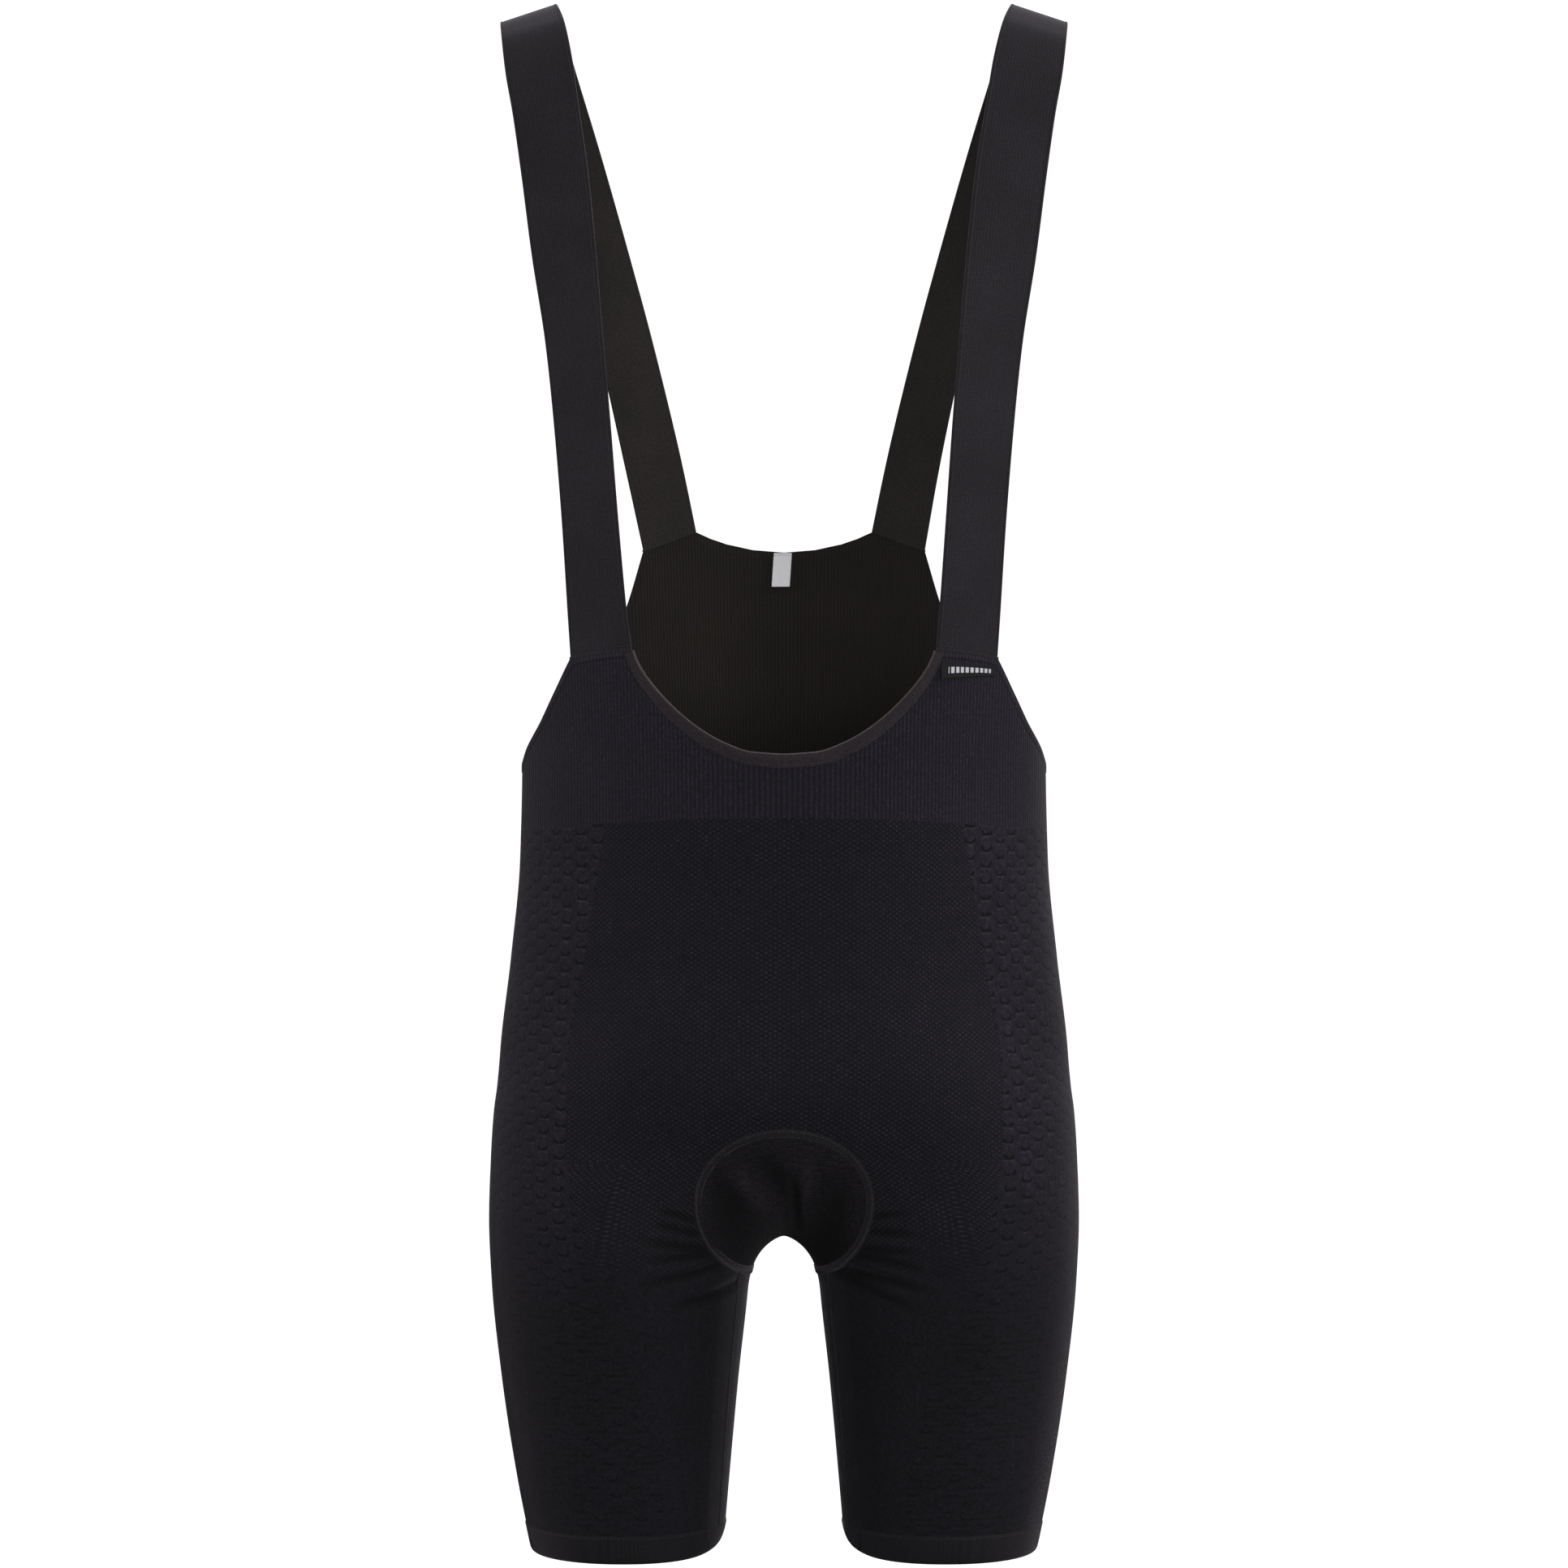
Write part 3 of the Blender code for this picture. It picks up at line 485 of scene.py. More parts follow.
@dataclass
class Surface:
    """Points and faces of a piece under construction, with the finish of each face."""

    points: Array
    weave: Array
    faces: Array
    finish: Array

    @classmethod
    def grid(cls, points: Array, weave: Array, finish: int = 0) -> "Surface":
        """Quads between the rows and columns of a grid of points, without those that touch a NaN.

        Args:
            points: the grid.
            weave: for each point its place across and along the cloth.
            finish: number of the faces' finish.

        Returns:
            The surface.
        """
        rows, columns = points.shape[:2]
        index = np.arange(rows * columns).reshape(rows, columns)
        quads = np.stack([index[:-1, :-1], index[1:, :-1], index[1:, 1:], index[:-1, 1:]], -1).reshape(-1, 4)
        flat = points.reshape(-1, 3)
        quads = quads[~np.isnan(flat[quads]).any(axis=(1, 2))]
        place = np.zeros((len(flat), 3))
        place[:, : weave.shape[-1]] = weave.reshape(-1, weave.shape[-1])
        return cls(flat, place, quads, np.full(len(quads), finish)).packed()

    def packed(self) -> "Surface":
        """The same surface without points that no face uses."""
        used = np.unique(self.faces)
        place = np.full(len(self.points), -1)
        place[used] = np.arange(len(used))
        return Surface(self.points[used], self.weave[used], place[self.faces], self.finish)

    def mirrored(self) -> "Surface":
        """The surface's mirror image across the plane x = 0, facing outwards as well."""
        return Surface(self.points * Side.LEFT.mirror, self.weave, self.faces[:, ::-1], self.finish)

    def joined(self, *others: "Surface") -> "Surface":
        """This surface and others as one.

        Args:
            others: the other surfaces.

        Returns:
            The joined surface, in which points that coincide merge and faces that coincide cancel out.
        """
        parts = [self, *others]
        offsets = np.cumsum([0] + [len(part.points) for part in parts[:-1]])
        points = np.concatenate([part.points for part in parts])
        faces = np.concatenate([part.faces + offset for part, offset in zip(parts, offsets)])
        weave = np.concatenate([part.weave for part in parts])
        finish = np.concatenate([part.finish for part in parts])
        keys = np.round(points, 6) + 0.0
        _, first, place = np.unique(keys, axis=0, return_index=True, return_inverse=True)
        faces = place.ravel()[faces]
        _, which, times = np.unique(np.sort(faces, axis=1), axis=0, return_inverse=True, return_counts=True)
        alone = times[which.ravel()] == 1
        return Surface(points[first], weave[first], faces[alone], finish[alone])

    def rim(self) -> Array:
        """Directed edges along the open boundary."""
        starts = self.faces.ravel()
        ends = np.roll(self.faces, -1, axis=1).ravel()
        count = len(self.points)
        alone = ~np.isin(starts * count + ends, ends * count + starts) & (starts != ends)
        return np.stack([starts[alone], ends[alone]], -1)

    def loops(self) -> list[Array]:
        """Follows the open boundary.

        Returns:
            Its rings of point numbers in order, the longest first.
        """
        after = {int(a): int(b) for a, b in self.rim()}
        rings = []
        while after:
            start = next(iter(after))
            ring = [start]
            here = after.pop(start)
            while here in after:
                ring.append(here)
                here = after.pop(here)
            rings.append(np.array(ring))
        return sorted(rings, key=len, reverse=True)

    def walled(self, normals: Array, wall: float, inner_finish: int) -> "Surface":
        """The surface as the outer face of a closed wall.

        Args:
            normals: outward unit normals at the points.
            wall: the wall's thickness.
            inner_finish: finish of the inner face.

        Returns:
            The closed wall.
        """
        count = len(self.points)
        inner = self.points - normals * wall
        rim = self.rim()
        sides = np.stack([rim[:, 1], rim[:, 0], rim[:, 0] + count, rim[:, 1] + count], -1)
        faces = np.concatenate([self.faces, self.faces[:, ::-1] + count, sides])
        finish = np.concatenate([
            self.finish,
            np.full(len(self.faces), inner_finish),
            np.zeros(len(sides), dtype=int),
        ])
        return Surface(np.concatenate([self.points, inner]), np.tile(self.weave, (2, 1)), faces, finish)

    def volume(self) -> float:
        """Signed volume, positive where the faces point outwards."""
        a, b, c, d = (self.points[self.faces[:, i]] for i in range(4))
        first = np.einsum("ij,ij->i", a, np.cross(b, c)).sum()
        second = np.einsum("ij,ij->i", a, np.cross(c, d)).sum()
        return float(first + second) / 6

    def facing_out(self) -> "Surface":
        """The closed surface with its faces pointing outwards."""
        if self.volume() < 0:
            return Surface(self.points, self.weave, self.faces[:, ::-1], self.finish)
        return self

    def area(self, finish: int = 0) -> float:
        """Area of the faces with a finish, in square metres."""
        a, b, c, d = (self.points[self.faces[self.finish == finish, i]] for i in range(4))
        first = np.linalg.norm(np.cross(b - a, c - a), axis=1).sum()
        second = np.linalg.norm(np.cross(c - a, d - a), axis=1).sum()
        return float(first + second) / 2

    def to_object(
        self,
        name: str,
        finishes: Sequence["Finish"],
        zones: Union[dict[str, Array], None] = None,
        sharp: float = 50.0,
    ) -> bpy.types.Object:
        """Makes the surface a Blender object.

        Args:
            name: the piece's name.
            finishes: its finishes, in the order of the faces' numbers.
            zones: named values for each point that the finishes read.
            sharp: edges above this angle in degrees stay sharp.

        Returns:
            The new object.
        """
        mesh = bpy.data.meshes.new(name)
        loops = [tuple(dict.fromkeys(face)) for face in self.faces.tolist()]
        mesh.from_pydata(self.points.tolist(), [], loops)
        for finish in finishes:
            mesh.materials.append(finish.material)
        mesh.polygons.foreach_set("material_index", self.finish.astype(np.int32))
        layer = mesh.attributes.new("weave", "FLOAT_VECTOR", "POINT")
        layer.data.foreach_set("vector", self.weave.astype(np.float32).ravel())
        for zone, values in (zones or {}).items():
            layer = mesh.attributes.new(zone, "FLOAT", "POINT")
            layer.data.foreach_set("value", values.astype(np.float32))
        mesh.shade_smooth()
        mesh.set_sharp_from_angle(angle=math.radians(sharp))
        mesh.update()
        return added(name, mesh)


def sweep(
    sections: Array,
    weave: Array,
    closed_path: bool = False,
    finishes: Union[Array, None] = None,
) -> Surface:
    """A closed tube through sections.

    Args:
        sections: for each station along the path the points round the section.
        weave: for each of those points its place across and along the cloth.
        closed_path: whether the last section joins the first.
        finishes: the finish of each strip between two points of a section.

    Returns:
        The tube, with its ends closed by rows of quads.
    """
    stations, around = sections.shape[:2]
    index = np.arange(stations * around).reshape(stations, around)
    following = np.roll(index, -1, axis=1)
    here = index if closed_path else index[:-1]
    there = np.roll(index, -1, axis=0) if closed_path else index[1:]
    beside = np.roll(following, -1, axis=0) if closed_path else following[1:]
    quads = np.stack([here, following if closed_path else following[:-1], beside, there], -1)
    strip = np.zeros(around, dtype=int) if finishes is None else finishes
    finish = np.broadcast_to(strip, quads.shape[:2]).ravel()
    faces = quads.reshape(-1, 4)
    if not closed_path:
        half = around // 2
        turn = np.arange(half - 1) if around % 2 == 0 else np.arange(half)
        cap = np.stack([turn, turn + 1, around - 2 - turn, around - 1 - turn], -1)
        ends = np.concatenate([cap[:, ::-1], cap + (stations - 1) * around])
        faces = np.concatenate([faces, ends])
        finish = np.concatenate([finish, np.zeros(len(ends), dtype=int)])
    place = np.zeros((stations * around, 3))
    place[:, :2] = weave.reshape(-1, 2)
    return Surface(sections.reshape(-1, 3), place, faces, finish).facing_out()


def spaced(path: Array, spacing: float, closed: bool = False) -> Array:
    """A path with its points set evenly along it."""
    run = np.concatenate([path, path[:1]]) if closed else path
    along = travelled(run)
    where = np.linspace(0, along[-1], max(2, round(along[-1] / spacing) + 1))
    even = np.stack([np.interp(where, along, run[:, axis]) for axis in range(3)], -1)
    return even[:-1] if closed else even


def smoothed(path: Array, rounds: int, closed: bool = False) -> Array:
    """Averages out a path's small jogs; the ends of an open one stay.

    Args:
        path: its points.
        rounds: how many times each point moves towards its neighbours.
        closed: whether it is a ring.

    Returns:
        The eased points.
    """
    for _ in range(rounds):
        before = np.roll(path, 1, axis=0)
        after = np.roll(path, -1, axis=0)
        eased = (before + 2 * path + after) / 4
        if not closed:
            eased[[0, -1]] = path[[0, -1]]
        path = eased
    return path


def travelled(path: Array) -> Array:
    """Distance along a path at each of its points."""
    return np.concatenate([[0.0], np.cumsum(np.linalg.norm(np.diff(path, axis=0), axis=1))])


def unit(vectors: Array) -> Array:
    """Vectors at length 1."""
    return vectors / np.linalg.norm(vectors, axis=-1, keepdims=True)


def tangents_of(path: Array, closed: bool = False) -> Array:
    """Unit tangents along a path."""
    if closed:
        return unit(np.roll(path, -1, axis=0) - np.roll(path, 1, axis=0))
    return unit(np.gradient(path, axis=0))


# ---------------- finishes


class Reading:
    """A number that varies over the surface. Python's operators add Math nodes."""

    def __init__(self, board: "NodeBoard", socket: bpy.types.NodeSocket) -> None:
        """Wraps a socket of the board's tree."""
        self.board = board
        self.socket = socket

    def math(self, operation: str, *values: Number) -> "Reading":
        """A Math node on this number and others."""
        sockets = dict(enumerate([self, *values]))
        node = self.board.add("ShaderNodeMath", {"operation": operation}, sockets)
        return Reading(self.board, node.outputs[0])

    def __add__(self, other: Number) -> "Reading":
        """Sum."""
        return self.math("ADD", other)

    __radd__ = __add__

    def __mul__(self, other: Number) -> "Reading":
        """Product."""
        return self.math("MULTIPLY", other)

    __rmul__ = __mul__

    def __sub__(self, other: Number) -> "Reading":
        """Difference."""
        return self.math("SUBTRACT", other)

    def __rsub__(self, other: float) -> "Reading":
        """Reflected difference."""
        return self.math("MULTIPLY_ADD", -1.0, other)

    def __truediv__(self, other: Number) -> "Reading":
        """Quotient."""
        return self.math("DIVIDE", other)

    def __abs__(self) -> "Reading":
        """Size without sign."""
        return self.math("ABSOLUTE")

    def wave(self, pitch: float) -> "Reading":
        """A cosine of this length, 1 at every multiple of the pitch."""
        return (self * (2 * math.pi / pitch)).math("COSINE")

    def crest(self, pitch: float) -> "Reading":
        """The same wave between 0 and 1."""
        return self.wave(pitch) * 0.5 + 0.5

    def folded(self, pitch: float) -> "Reading":
        """Distance from the nearest multiple of the pitch, with its sign."""
        return self - (self / pitch).math("ROUND") * pitch

    def rise(self, low: float, high: float) -> "Reading":
        """A smooth step from 0 at low to 1 at high."""
        falling = high < low
        node = self.board.add(
            "ShaderNodeMapRange",
            {"interpolation_type": "SMOOTHSTEP"},
            {0: self, 1: min(low, high), 2: max(low, high), 3: float(falling), 4: float(not falling)},
        )
        return Reading(self.board, node.outputs[0])


class NodeBoard:
    """A node tree under construction."""

    def __init__(self, tree: bpy.types.NodeTree) -> None:
        """Takes the tree."""
        self.tree = tree

    def add(self, kind: str, settings: dict, sockets: dict) -> bpy.types.Node:
        """Adds a node.

        Args:
            kind: the node's type.
            settings: its own settings, such as an operation.
            sockets: values, readings or sockets for its inputs, by place or name.

        Returns:
            The node.
        """
        node = self.tree.nodes.new(kind)
        for setting, value in settings.items():
            setattr(node, setting, value)
        for socket, value in sockets.items():
            self.feed(node.inputs[socket], value)
        return node

    def feed(self, socket: bpy.types.NodeSocket, value: object) -> None:
        """Sets a socket to a value, or links it to a reading or to another socket."""
        source = value.socket if isinstance(value, Reading) else value
        if isinstance(source, bpy.types.NodeSocket):
            self.tree.links.new(source, socket)
        else:
            socket.default_value = source


class Board(NodeBoard):
    """A material's node tree under construction."""

    def __init__(self, name: str) -> None:
        """Makes a material with a bare shader."""
        self.material = bpy.data.materials.new(name)
        self.material.use_nodes = True
        super().__init__(self.material.node_tree)
        self.shader = self.tree.nodes["Principled BSDF"]

    def attribute(self, name: str) -> Reading:
        """A named value of the piece."""
        node = self.add("ShaderNodeAttribute", {"attribute_name": name}, {})
        return Reading(self, node.outputs["Fac"])

    def weave(self) -> tuple[Reading, Reading, Reading]:
        """Place on the cloth in metres: across its wales, along them, and round from the side line."""
        attribute = self.add("ShaderNodeAttribute", {"attribute_name": "weave"}, {})
        split = self.add("ShaderNodeSeparateXYZ", {}, {0: attribute.outputs["Vector"]})
        return tuple(Reading(self, socket) for socket in split.outputs)

    def cloud(self, scale: float, detail: float = 2.0, stretch: Colour = (1.0, 1.0, 1.0)) -> Reading:
        """Soft noise over the piece, from 0 to 1.

        Args:
            scale: its swings per metre.
            detail: how many finer layers it has.
            stretch: factor of the scale along each axis.

        Returns:
            The noise.
        """
        place = self.add("ShaderNodeTexCoord", {}, {}).outputs["Object"]
        turned = self.add("ShaderNodeMapping", {}, {"Vector": place, "Scale": stretch})
        noise = self.add(
            "ShaderNodeTexNoise",
            {},
            {"Vector": turned.outputs[0], "Scale": scale, "Detail": detail, "Roughness": 0.55},
        )
        return Reading(self, noise.outputs[0])

    def blend(self, factor: Reading, low: Shade, high: Shade) -> bpy.types.NodeSocket:
        """A colour between two, by a factor from 0 to 1."""
        low, high = ((*shade, 1.0) if isinstance(shade, tuple) else shade for shade in (low, high))
        return self.add("ShaderNodeMix", {"data_type": "RGBA"}, {0: factor, 6: low, 7: high}).outputs[2]

    def paint(self, colour: bpy.types.NodeSocket) -> None:
        """Gives the shader its colour."""
        self.feed(self.shader.inputs["Base Color"], colour)

    def relief(self, height: Reading, millimetres: float) -> None:
        """Raises the surface by a height from 0 to 1 times so many millimetres."""
        bump = self.add(
            "ShaderNodeBump",
            {},
            {"Height": height, "Distance": millimetres * MILLIMETRE, "Strength": 1.0},
        )
        self.feed(self.shader.inputs["Normal"], bump.outputs[0])

    def cloth(self, roughness: float, sheen: float, sheen_roughness: float, tint: Colour) -> None:
        """Sets the shader's constants for a matt cloth with a soft nap.

        Args:
            roughness: the cloth's own.
            sheen: how strongly the nap shows.
            sheen_roughness: how widely it spreads the light.
            tint: its colour.
        """
        for socket, value in (
            ("Roughness", roughness),
            ("Specular IOR Level", 0.25),
            ("Sheen Weight", sheen),
            ("Sheen Roughness", sheen_roughness),
            ("Sheen Tint", (*tint, 1.0)),
        ):
            self.shader.inputs[socket].default_value = value


def srgb(red: int, green: int, blue: int) -> Colour:
    """A colour of 0 to 255 numbers as linear light."""
    channels = [value / 255 for value in (red, green, blue)]
    return tuple(c / 12.92 if c <= 0.04045 else ((c + 0.055) / 1.055) ** 2.4 for c in channels)


@dataclass(frozen=True)
class KnitTones:
    """What each feature of the body's knit adds to its tone, or takes off it."""

    rib: float = 0.32
    rib_crest: float = 0.26
    cell: float = 0.45
    cell_groove: float = 1.50
    # Painted highlight on the upper lip of each cell
    cell_lip: float = 0.22
    cell_yarn: float = 0.30
    worn: float = 0.22
    worn_ripple: float = 0.13
    mesh: float = 0.17
    mesh_eye: float = 0.24
    uneven_eye: float = 0.36
    plain: float = 0.22
    plain_loop: float = 0.22
    yarn: float = 0.30
    patch: float = 0.22
    fuzz: float = 0.85
    turned_edge: float = 0.14
    edge_fold: float = 0.30
    # Painted shade in the creases' troughs and painted highlight on their ridges
    crease: float = 0.46


@dataclass(frozen=True)
class SeamlessKnit:
    """The body's knit: ribs above, a bird's-eye mesh in the centre, honeycomb cells at the sides."""

    name: str = "seamless_knit"
    valley: Colour = srgb(9, 9, 12)
    ground: Colour = srgb(30, 28, 36)
    crown: Colour = srgb(66, 60, 73)
    tones: KnitTones = KnitTones()
    rib_pitch: float = 0.0028
    wale_pitch: float = 0.0014
    course_pitch: float = 0.0013
    mesh_pitch: float = 0.0140 / 3
    mesh_row: float = 0.00145
    cell_pitch: float = 0.0124
    cell_height: float = 0.0097
    ripple_pitch: float = 0.0038
    turned_edge: float = 0.0034
    # Half widths of the passage from the ribs, and from the centre to the cells
    rib_border: float = 0.0006
    side_border: float = 0.0012
    # Swings of each noise per metre
    fuzz: float = 1100.0
    yarns: float = 380.0
    wear: float = 70.0
    patches: float = 14.0
    # How far the yarns stray from their places, in the cells and in the ripples of the lower leg
    cell_stray: float = 0.0022
    ripple_stray: float = 0.005
    # The arc pressed into each cell: radius in cell heights, and where it fades sideways, up and out
    arc_radius: float = 0.47
    arc_ends: tuple[float, float] = (0.0050, 0.0026)
    arc_top: tuple[float, float] = (-0.0008, -0.0026)
    arc_width: tuple[float, float] = (0.0011, 0.0003)
    # The border between cells: width of its groove, and its depth as a share of the arc's
    border_width: tuple[float, float] = (0.0010, 0.0002)
    border_depth: float = 0.06
    # Width, and place above the cell's middle, of the painted highlight on each cell's upper lip
    lip_width: tuple[float, float] = (0.0019, 0.0004)
    lip_place: tuple[float, float] = (0.0024, 0.0042)
    cushion_reach: float = 0.0024
    # The cells flatten out down the leg between these heights, and lose this share of their grooves
    worn_cells: tuple[float, float] = (-0.690, -0.800)
    worn_share: float = 0.84
    relief: float = 0.50

    def cells(self, across: Reading, along: Reading) -> tuple[Reading, Reading, Reading]:
        """The honeycomb cells.

        Args:
            across: place across the columns of cells.
            along: place along them.

        Returns:
            Distance from the nearest groove, and place beside and above the own cell's middle, in metres.
        """
        even_x = across.folded(2 * self.cell_pitch)
        even_z = along.folded(self.cell_height)
        odd_x = (across + self.cell_pitch).folded(2 * self.cell_pitch)
        odd_z = (along + self.cell_height / 2).folded(self.cell_height)
        even = even_x * even_x + even_z * even_z
        odd = odd_x * odd_x + odd_z * odd_z
        between = 2 * math.hypot(self.cell_pitch, self.cell_height / 2)
        to_neighbour = abs(even - odd) / between
        is_odd = (even - odd).math("GREATER_THAN", 0.0)
        own_x = even_x + is_odd * (odd_x - even_x)
        own_z = even_z + is_odd * (odd_z - even_z)
        to_stacked = self.cell_height / 2 - abs(own_z)
        return to_neighbour.math("MINIMUM", to_stacked), own_x, own_z

    def grooves(self, cell: Sequence[Reading], wear: Reading, worn: Reading) -> tuple[Reading, Reading]:
        """What is pressed into the cells, and where a painted highlight lies on each.

        Args:
            cell: distance from the nearest groove, and place beside and above the cell's middle.
            wear: noise that breaks up the arcs.
            worn: how far the cells have flattened out.

        Returns:
            The grooves, and the upper lip of each cell where a painted highlight goes, both from 0 to 1.
        """
        edge, own_x, own_z = cell
        middle = abs(own_x).rise(*self.arc_ends)
        rim = abs((own_x * own_x + own_z * own_z).math("SQRT") - self.cell_height * self.arc_radius)
        arc = own_z.rise(*self.arc_top) * middle * wear.rise(0.24, 0.48)
        pressed = rim.rise(*self.arc_width) * arc + edge.rise(*self.border_width) * self.border_depth
        # The lip: a painted highlight along the top of each cell
        lip = edge.rise(*self.lip_width) * own_z.rise(*self.lip_place) * middle * (1 - worn)
        return pressed * (1 - worn * self.worn_share), lip

    def make(self) -> bpy.types.Material:
        """The material."""
        board = Board(self.name)
        tones = self.tones
        across, along, from_side = board.weave()
        in_ribs = board.attribute("ribs").rise(-self.rib_border, self.rib_border)
        in_sides = board.attribute("sides").rise(-self.side_border, self.side_border) * (1 - in_ribs)
        in_centre = (1 - in_ribs) * (1 - in_sides)
        meshed = in_centre * (1 - board.attribute("plain"))
        from_edge = board.attribute("edge_gap")
        fuzz = board.cloud(self.fuzz)
        yarn = board.cloud(self.yarns, 1.0) - 0.5
        patches = board.cloud(self.patches)
        wear = board.cloud(self.wear)

        ribs = across.crest(self.rib_pitch)
        courses = along.wave(self.course_pitch) * across.wave(self.wale_pitch) * 0.5 + 0.5
        over = abs(across.folded(self.mesh_pitch)) * (2 / self.mesh_pitch)
        up = abs(along.folded(2 * self.mesh_row)) * (1 / self.mesh_row)
        eyes = abs(1 - over - up + yarn * 0.5).rise(0.10, 0.85)
        stray = yarn * self.cell_stray
        cell = self.cells(across=from_side + stray, along=along + stray)
        cushion = cell[0].rise(0.0, self.cushion_reach)
        worn = along.rise(*self.worn_cells)
        groove, lip = self.grooves(cell, wear, worn)
        smooth = in_centre - meshed + in_sides * worn * 0.8
        ripples = (along + yarn * self.ripple_stray).wave(self.ripple_pitch)
        ripples = ripples.rise(0.2, 1.0) * wear.rise(0.30, 0.60)
        turned = from_edge.rise(self.turned_edge + 0.0003, self.turned_edge - 0.0003)
        fold = 1 - abs(from_edge - (self.turned_edge + 0.0005)).rise(0.0, 0.0006)

        height = in_ribs * ribs * 0.45 + in_sides * (cushion * 0.25 * (1 - worn) - groove * 0.35)
        height = height + meshed * eyes * 0.6 + (in_centre - meshed + in_sides) * courses * 0.25 + fuzz * 0.4
        board.relief(height, self.relief)

        # The grooves darken the cells; the lip adds a painted highlight at the top of each
        cell_tone = tones.cell - groove * tones.cell_groove + lip * tones.cell_lip
        cell_tone = cell_tone + yarn * tones.cell_yarn * (1 - worn)
        cell_tone = cell_tone - worn * (ripples * tones.worn_ripple + tones.worn)
        tone = in_ribs * (ribs * tones.rib_crest + tones.rib) + in_sides * cell_tone
        tone = tone + meshed * (eyes * (wear * tones.uneven_eye + tones.mesh_eye) + tones.mesh)
        tone = tone + (in_centre - meshed) * tones.plain
        tone = tone + smooth * ((courses - 0.5) * tones.plain_loop + yarn * tones.plain_loop)
        tone = tone + yarn * tones.yarn + (patches - 0.5) * tones.patch + (fuzz - 0.5) * tones.fuzz
        tone = tone + turned * tones.turned_edge - fold * tones.edge_fold
        # Painted shade in the creases' troughs, painted highlight on their ridges
        tone = tone - board.attribute("crease") * tones.crease
        low = board.blend(tone.rise(-0.15, 0.55), self.valley, self.ground)
        board.paint(board.blend(tone.rise(0.35, 1.1), low, self.crown))
        board.cloth(0.88, 0.16, 0.35, (0.96, 0.88, 1.0))
        return board.material


@dataclass(frozen=True)
class InsideKnit:
    """The inner face of the knit: browner, with the floats of the ribs faintly showing."""

    name: str
    dark: Colour = srgb(20, 18, 16)
    light: Colour = srgb(42, 37, 33)
    pitch: float = 0.0028
    loop: float = 0.0014
    fuzz: float = 800.0
    patches: float = 16.0
    relief: float = 0.35

    def make(self) -> bpy.types.Material:
        """The material."""
        board = Board(self.name)
        across, along, _ = board.weave()
        ribs = across.crest(self.pitch)
        fuzz = board.cloud(self.fuzz)
        board.relief(ribs * 0.5 + along.crest(self.loop) * 0.15 + fuzz * 0.3, self.relief)
        tone = ribs * 0.25 + fuzz * 0.5 + board.cloud(self.patches) * 0.35 - 0.1
        board.paint(board.blend(tone.rise(0.0, 1.0), self.dark, self.light))
        board.cloth(0.9, 0.18, 0.5, (1.0, 0.92, 0.84))
        return board.material


@dataclass(frozen=True)
class FineKnit:
    """A smooth fine knit: elastic, binding, hems and the pad's cloth, each with its own colours."""

    name: str
    dark: Colour
    light: Colour
    wale: float = 0.0012
    course: float = 0.0010
    relief: float = 0.18
    sheen: float = 0.3
    tint: Colour = (0.95, 0.88, 1.0)
    contrast: float = 0.35
    fuzz: float = 900.0
    # How the fuzz is drawn out along each axis, and how much it adds to the tone
    slub: Colour = (1.0, 1.0, 1.0)
    speckle: float = 0.9
    patches: float = 22.0
    # Painted shade in fold troughs and painted highlight on fold ridges, where the piece carries a crease
    # value
    crease: float = 0.30

    def make(self) -> bpy.types.Material:
        """The material."""
        board = Board(self.name)
        across, along, _ = board.weave()
        wales = across.crest(self.wale)
        courses = along.crest(self.course)
        fuzz = board.cloud(self.fuzz, 3.0, self.slub)
        patches = board.cloud(self.patches)
        board.relief(wales * 0.35 + courses * 0.25 + fuzz * 0.6, self.relief)
        tone = wales * self.contrast * 0.5 + courses * self.contrast * 0.25 + (fuzz - 0.5) * self.speckle
        # Painted shade in fold troughs, painted highlight on fold ridges
        tone = tone + patches * 0.35 + 0.05 - board.attribute("crease") * self.crease
        board.paint(board.blend(tone.rise(0.0, 1.0), self.dark, self.light))
        board.cloth(0.82, self.sheen, 0.45, self.tint)
        return board.material


@dataclass(frozen=True)
class Thread:
    """Sewing thread: twisted, slightly glossier than the cloth."""

    name: str
    dark: Colour
    light: Colour
    fuzz: float = 1500.0

    def make(self) -> bpy.types.Material:
        """The material."""
        board = Board(self.name)
        fuzz = board.cloud(self.fuzz)
        board.relief(fuzz, 0.08)
        board.paint(board.blend(fuzz.rise(0.2, 0.8), self.dark, self.light))
        board.cloth(0.55, 0.25, 0.4, (1.0, 0.95, 1.0))
        return board.material


@dataclass(frozen=True)
class WovenTape:
    """A woven label tape with fine crossing yarns; pale dashes only where a row of them is asked for."""

    name: str
    dark: Colour
    light: Colour
    yarn: float = 0.0005
    fuzz: float = 500.0
    dash: Union[Colour, None] = None

    def make(self) -> bpy.types.Material:
        """The material."""
        board = Board(self.name)
        across, along, _ = board.weave()
        yarns = across.wave(self.yarn) * along.wave(self.yarn * 1.3) * 0.5 + 0.5
        fuzz = board.cloud(self.fuzz)
        board.relief(yarns * 0.7 + fuzz * 0.3, 0.08)
        tone = yarns * 0.5 + fuzz * 0.5
        colour = board.blend(tone.rise(0.1, 0.9), self.dark, self.light)
        if self.dash is not None:
            in_dash = board.attribute("dashes").rise(0.45, 0.6)
            colour = board.blend(in_dash, colour, self.dash)
        board.paint(colour)
        board.cloth(0.6, 0.1, 0.4, (1.0, 1.0, 1.0))
        return board.material


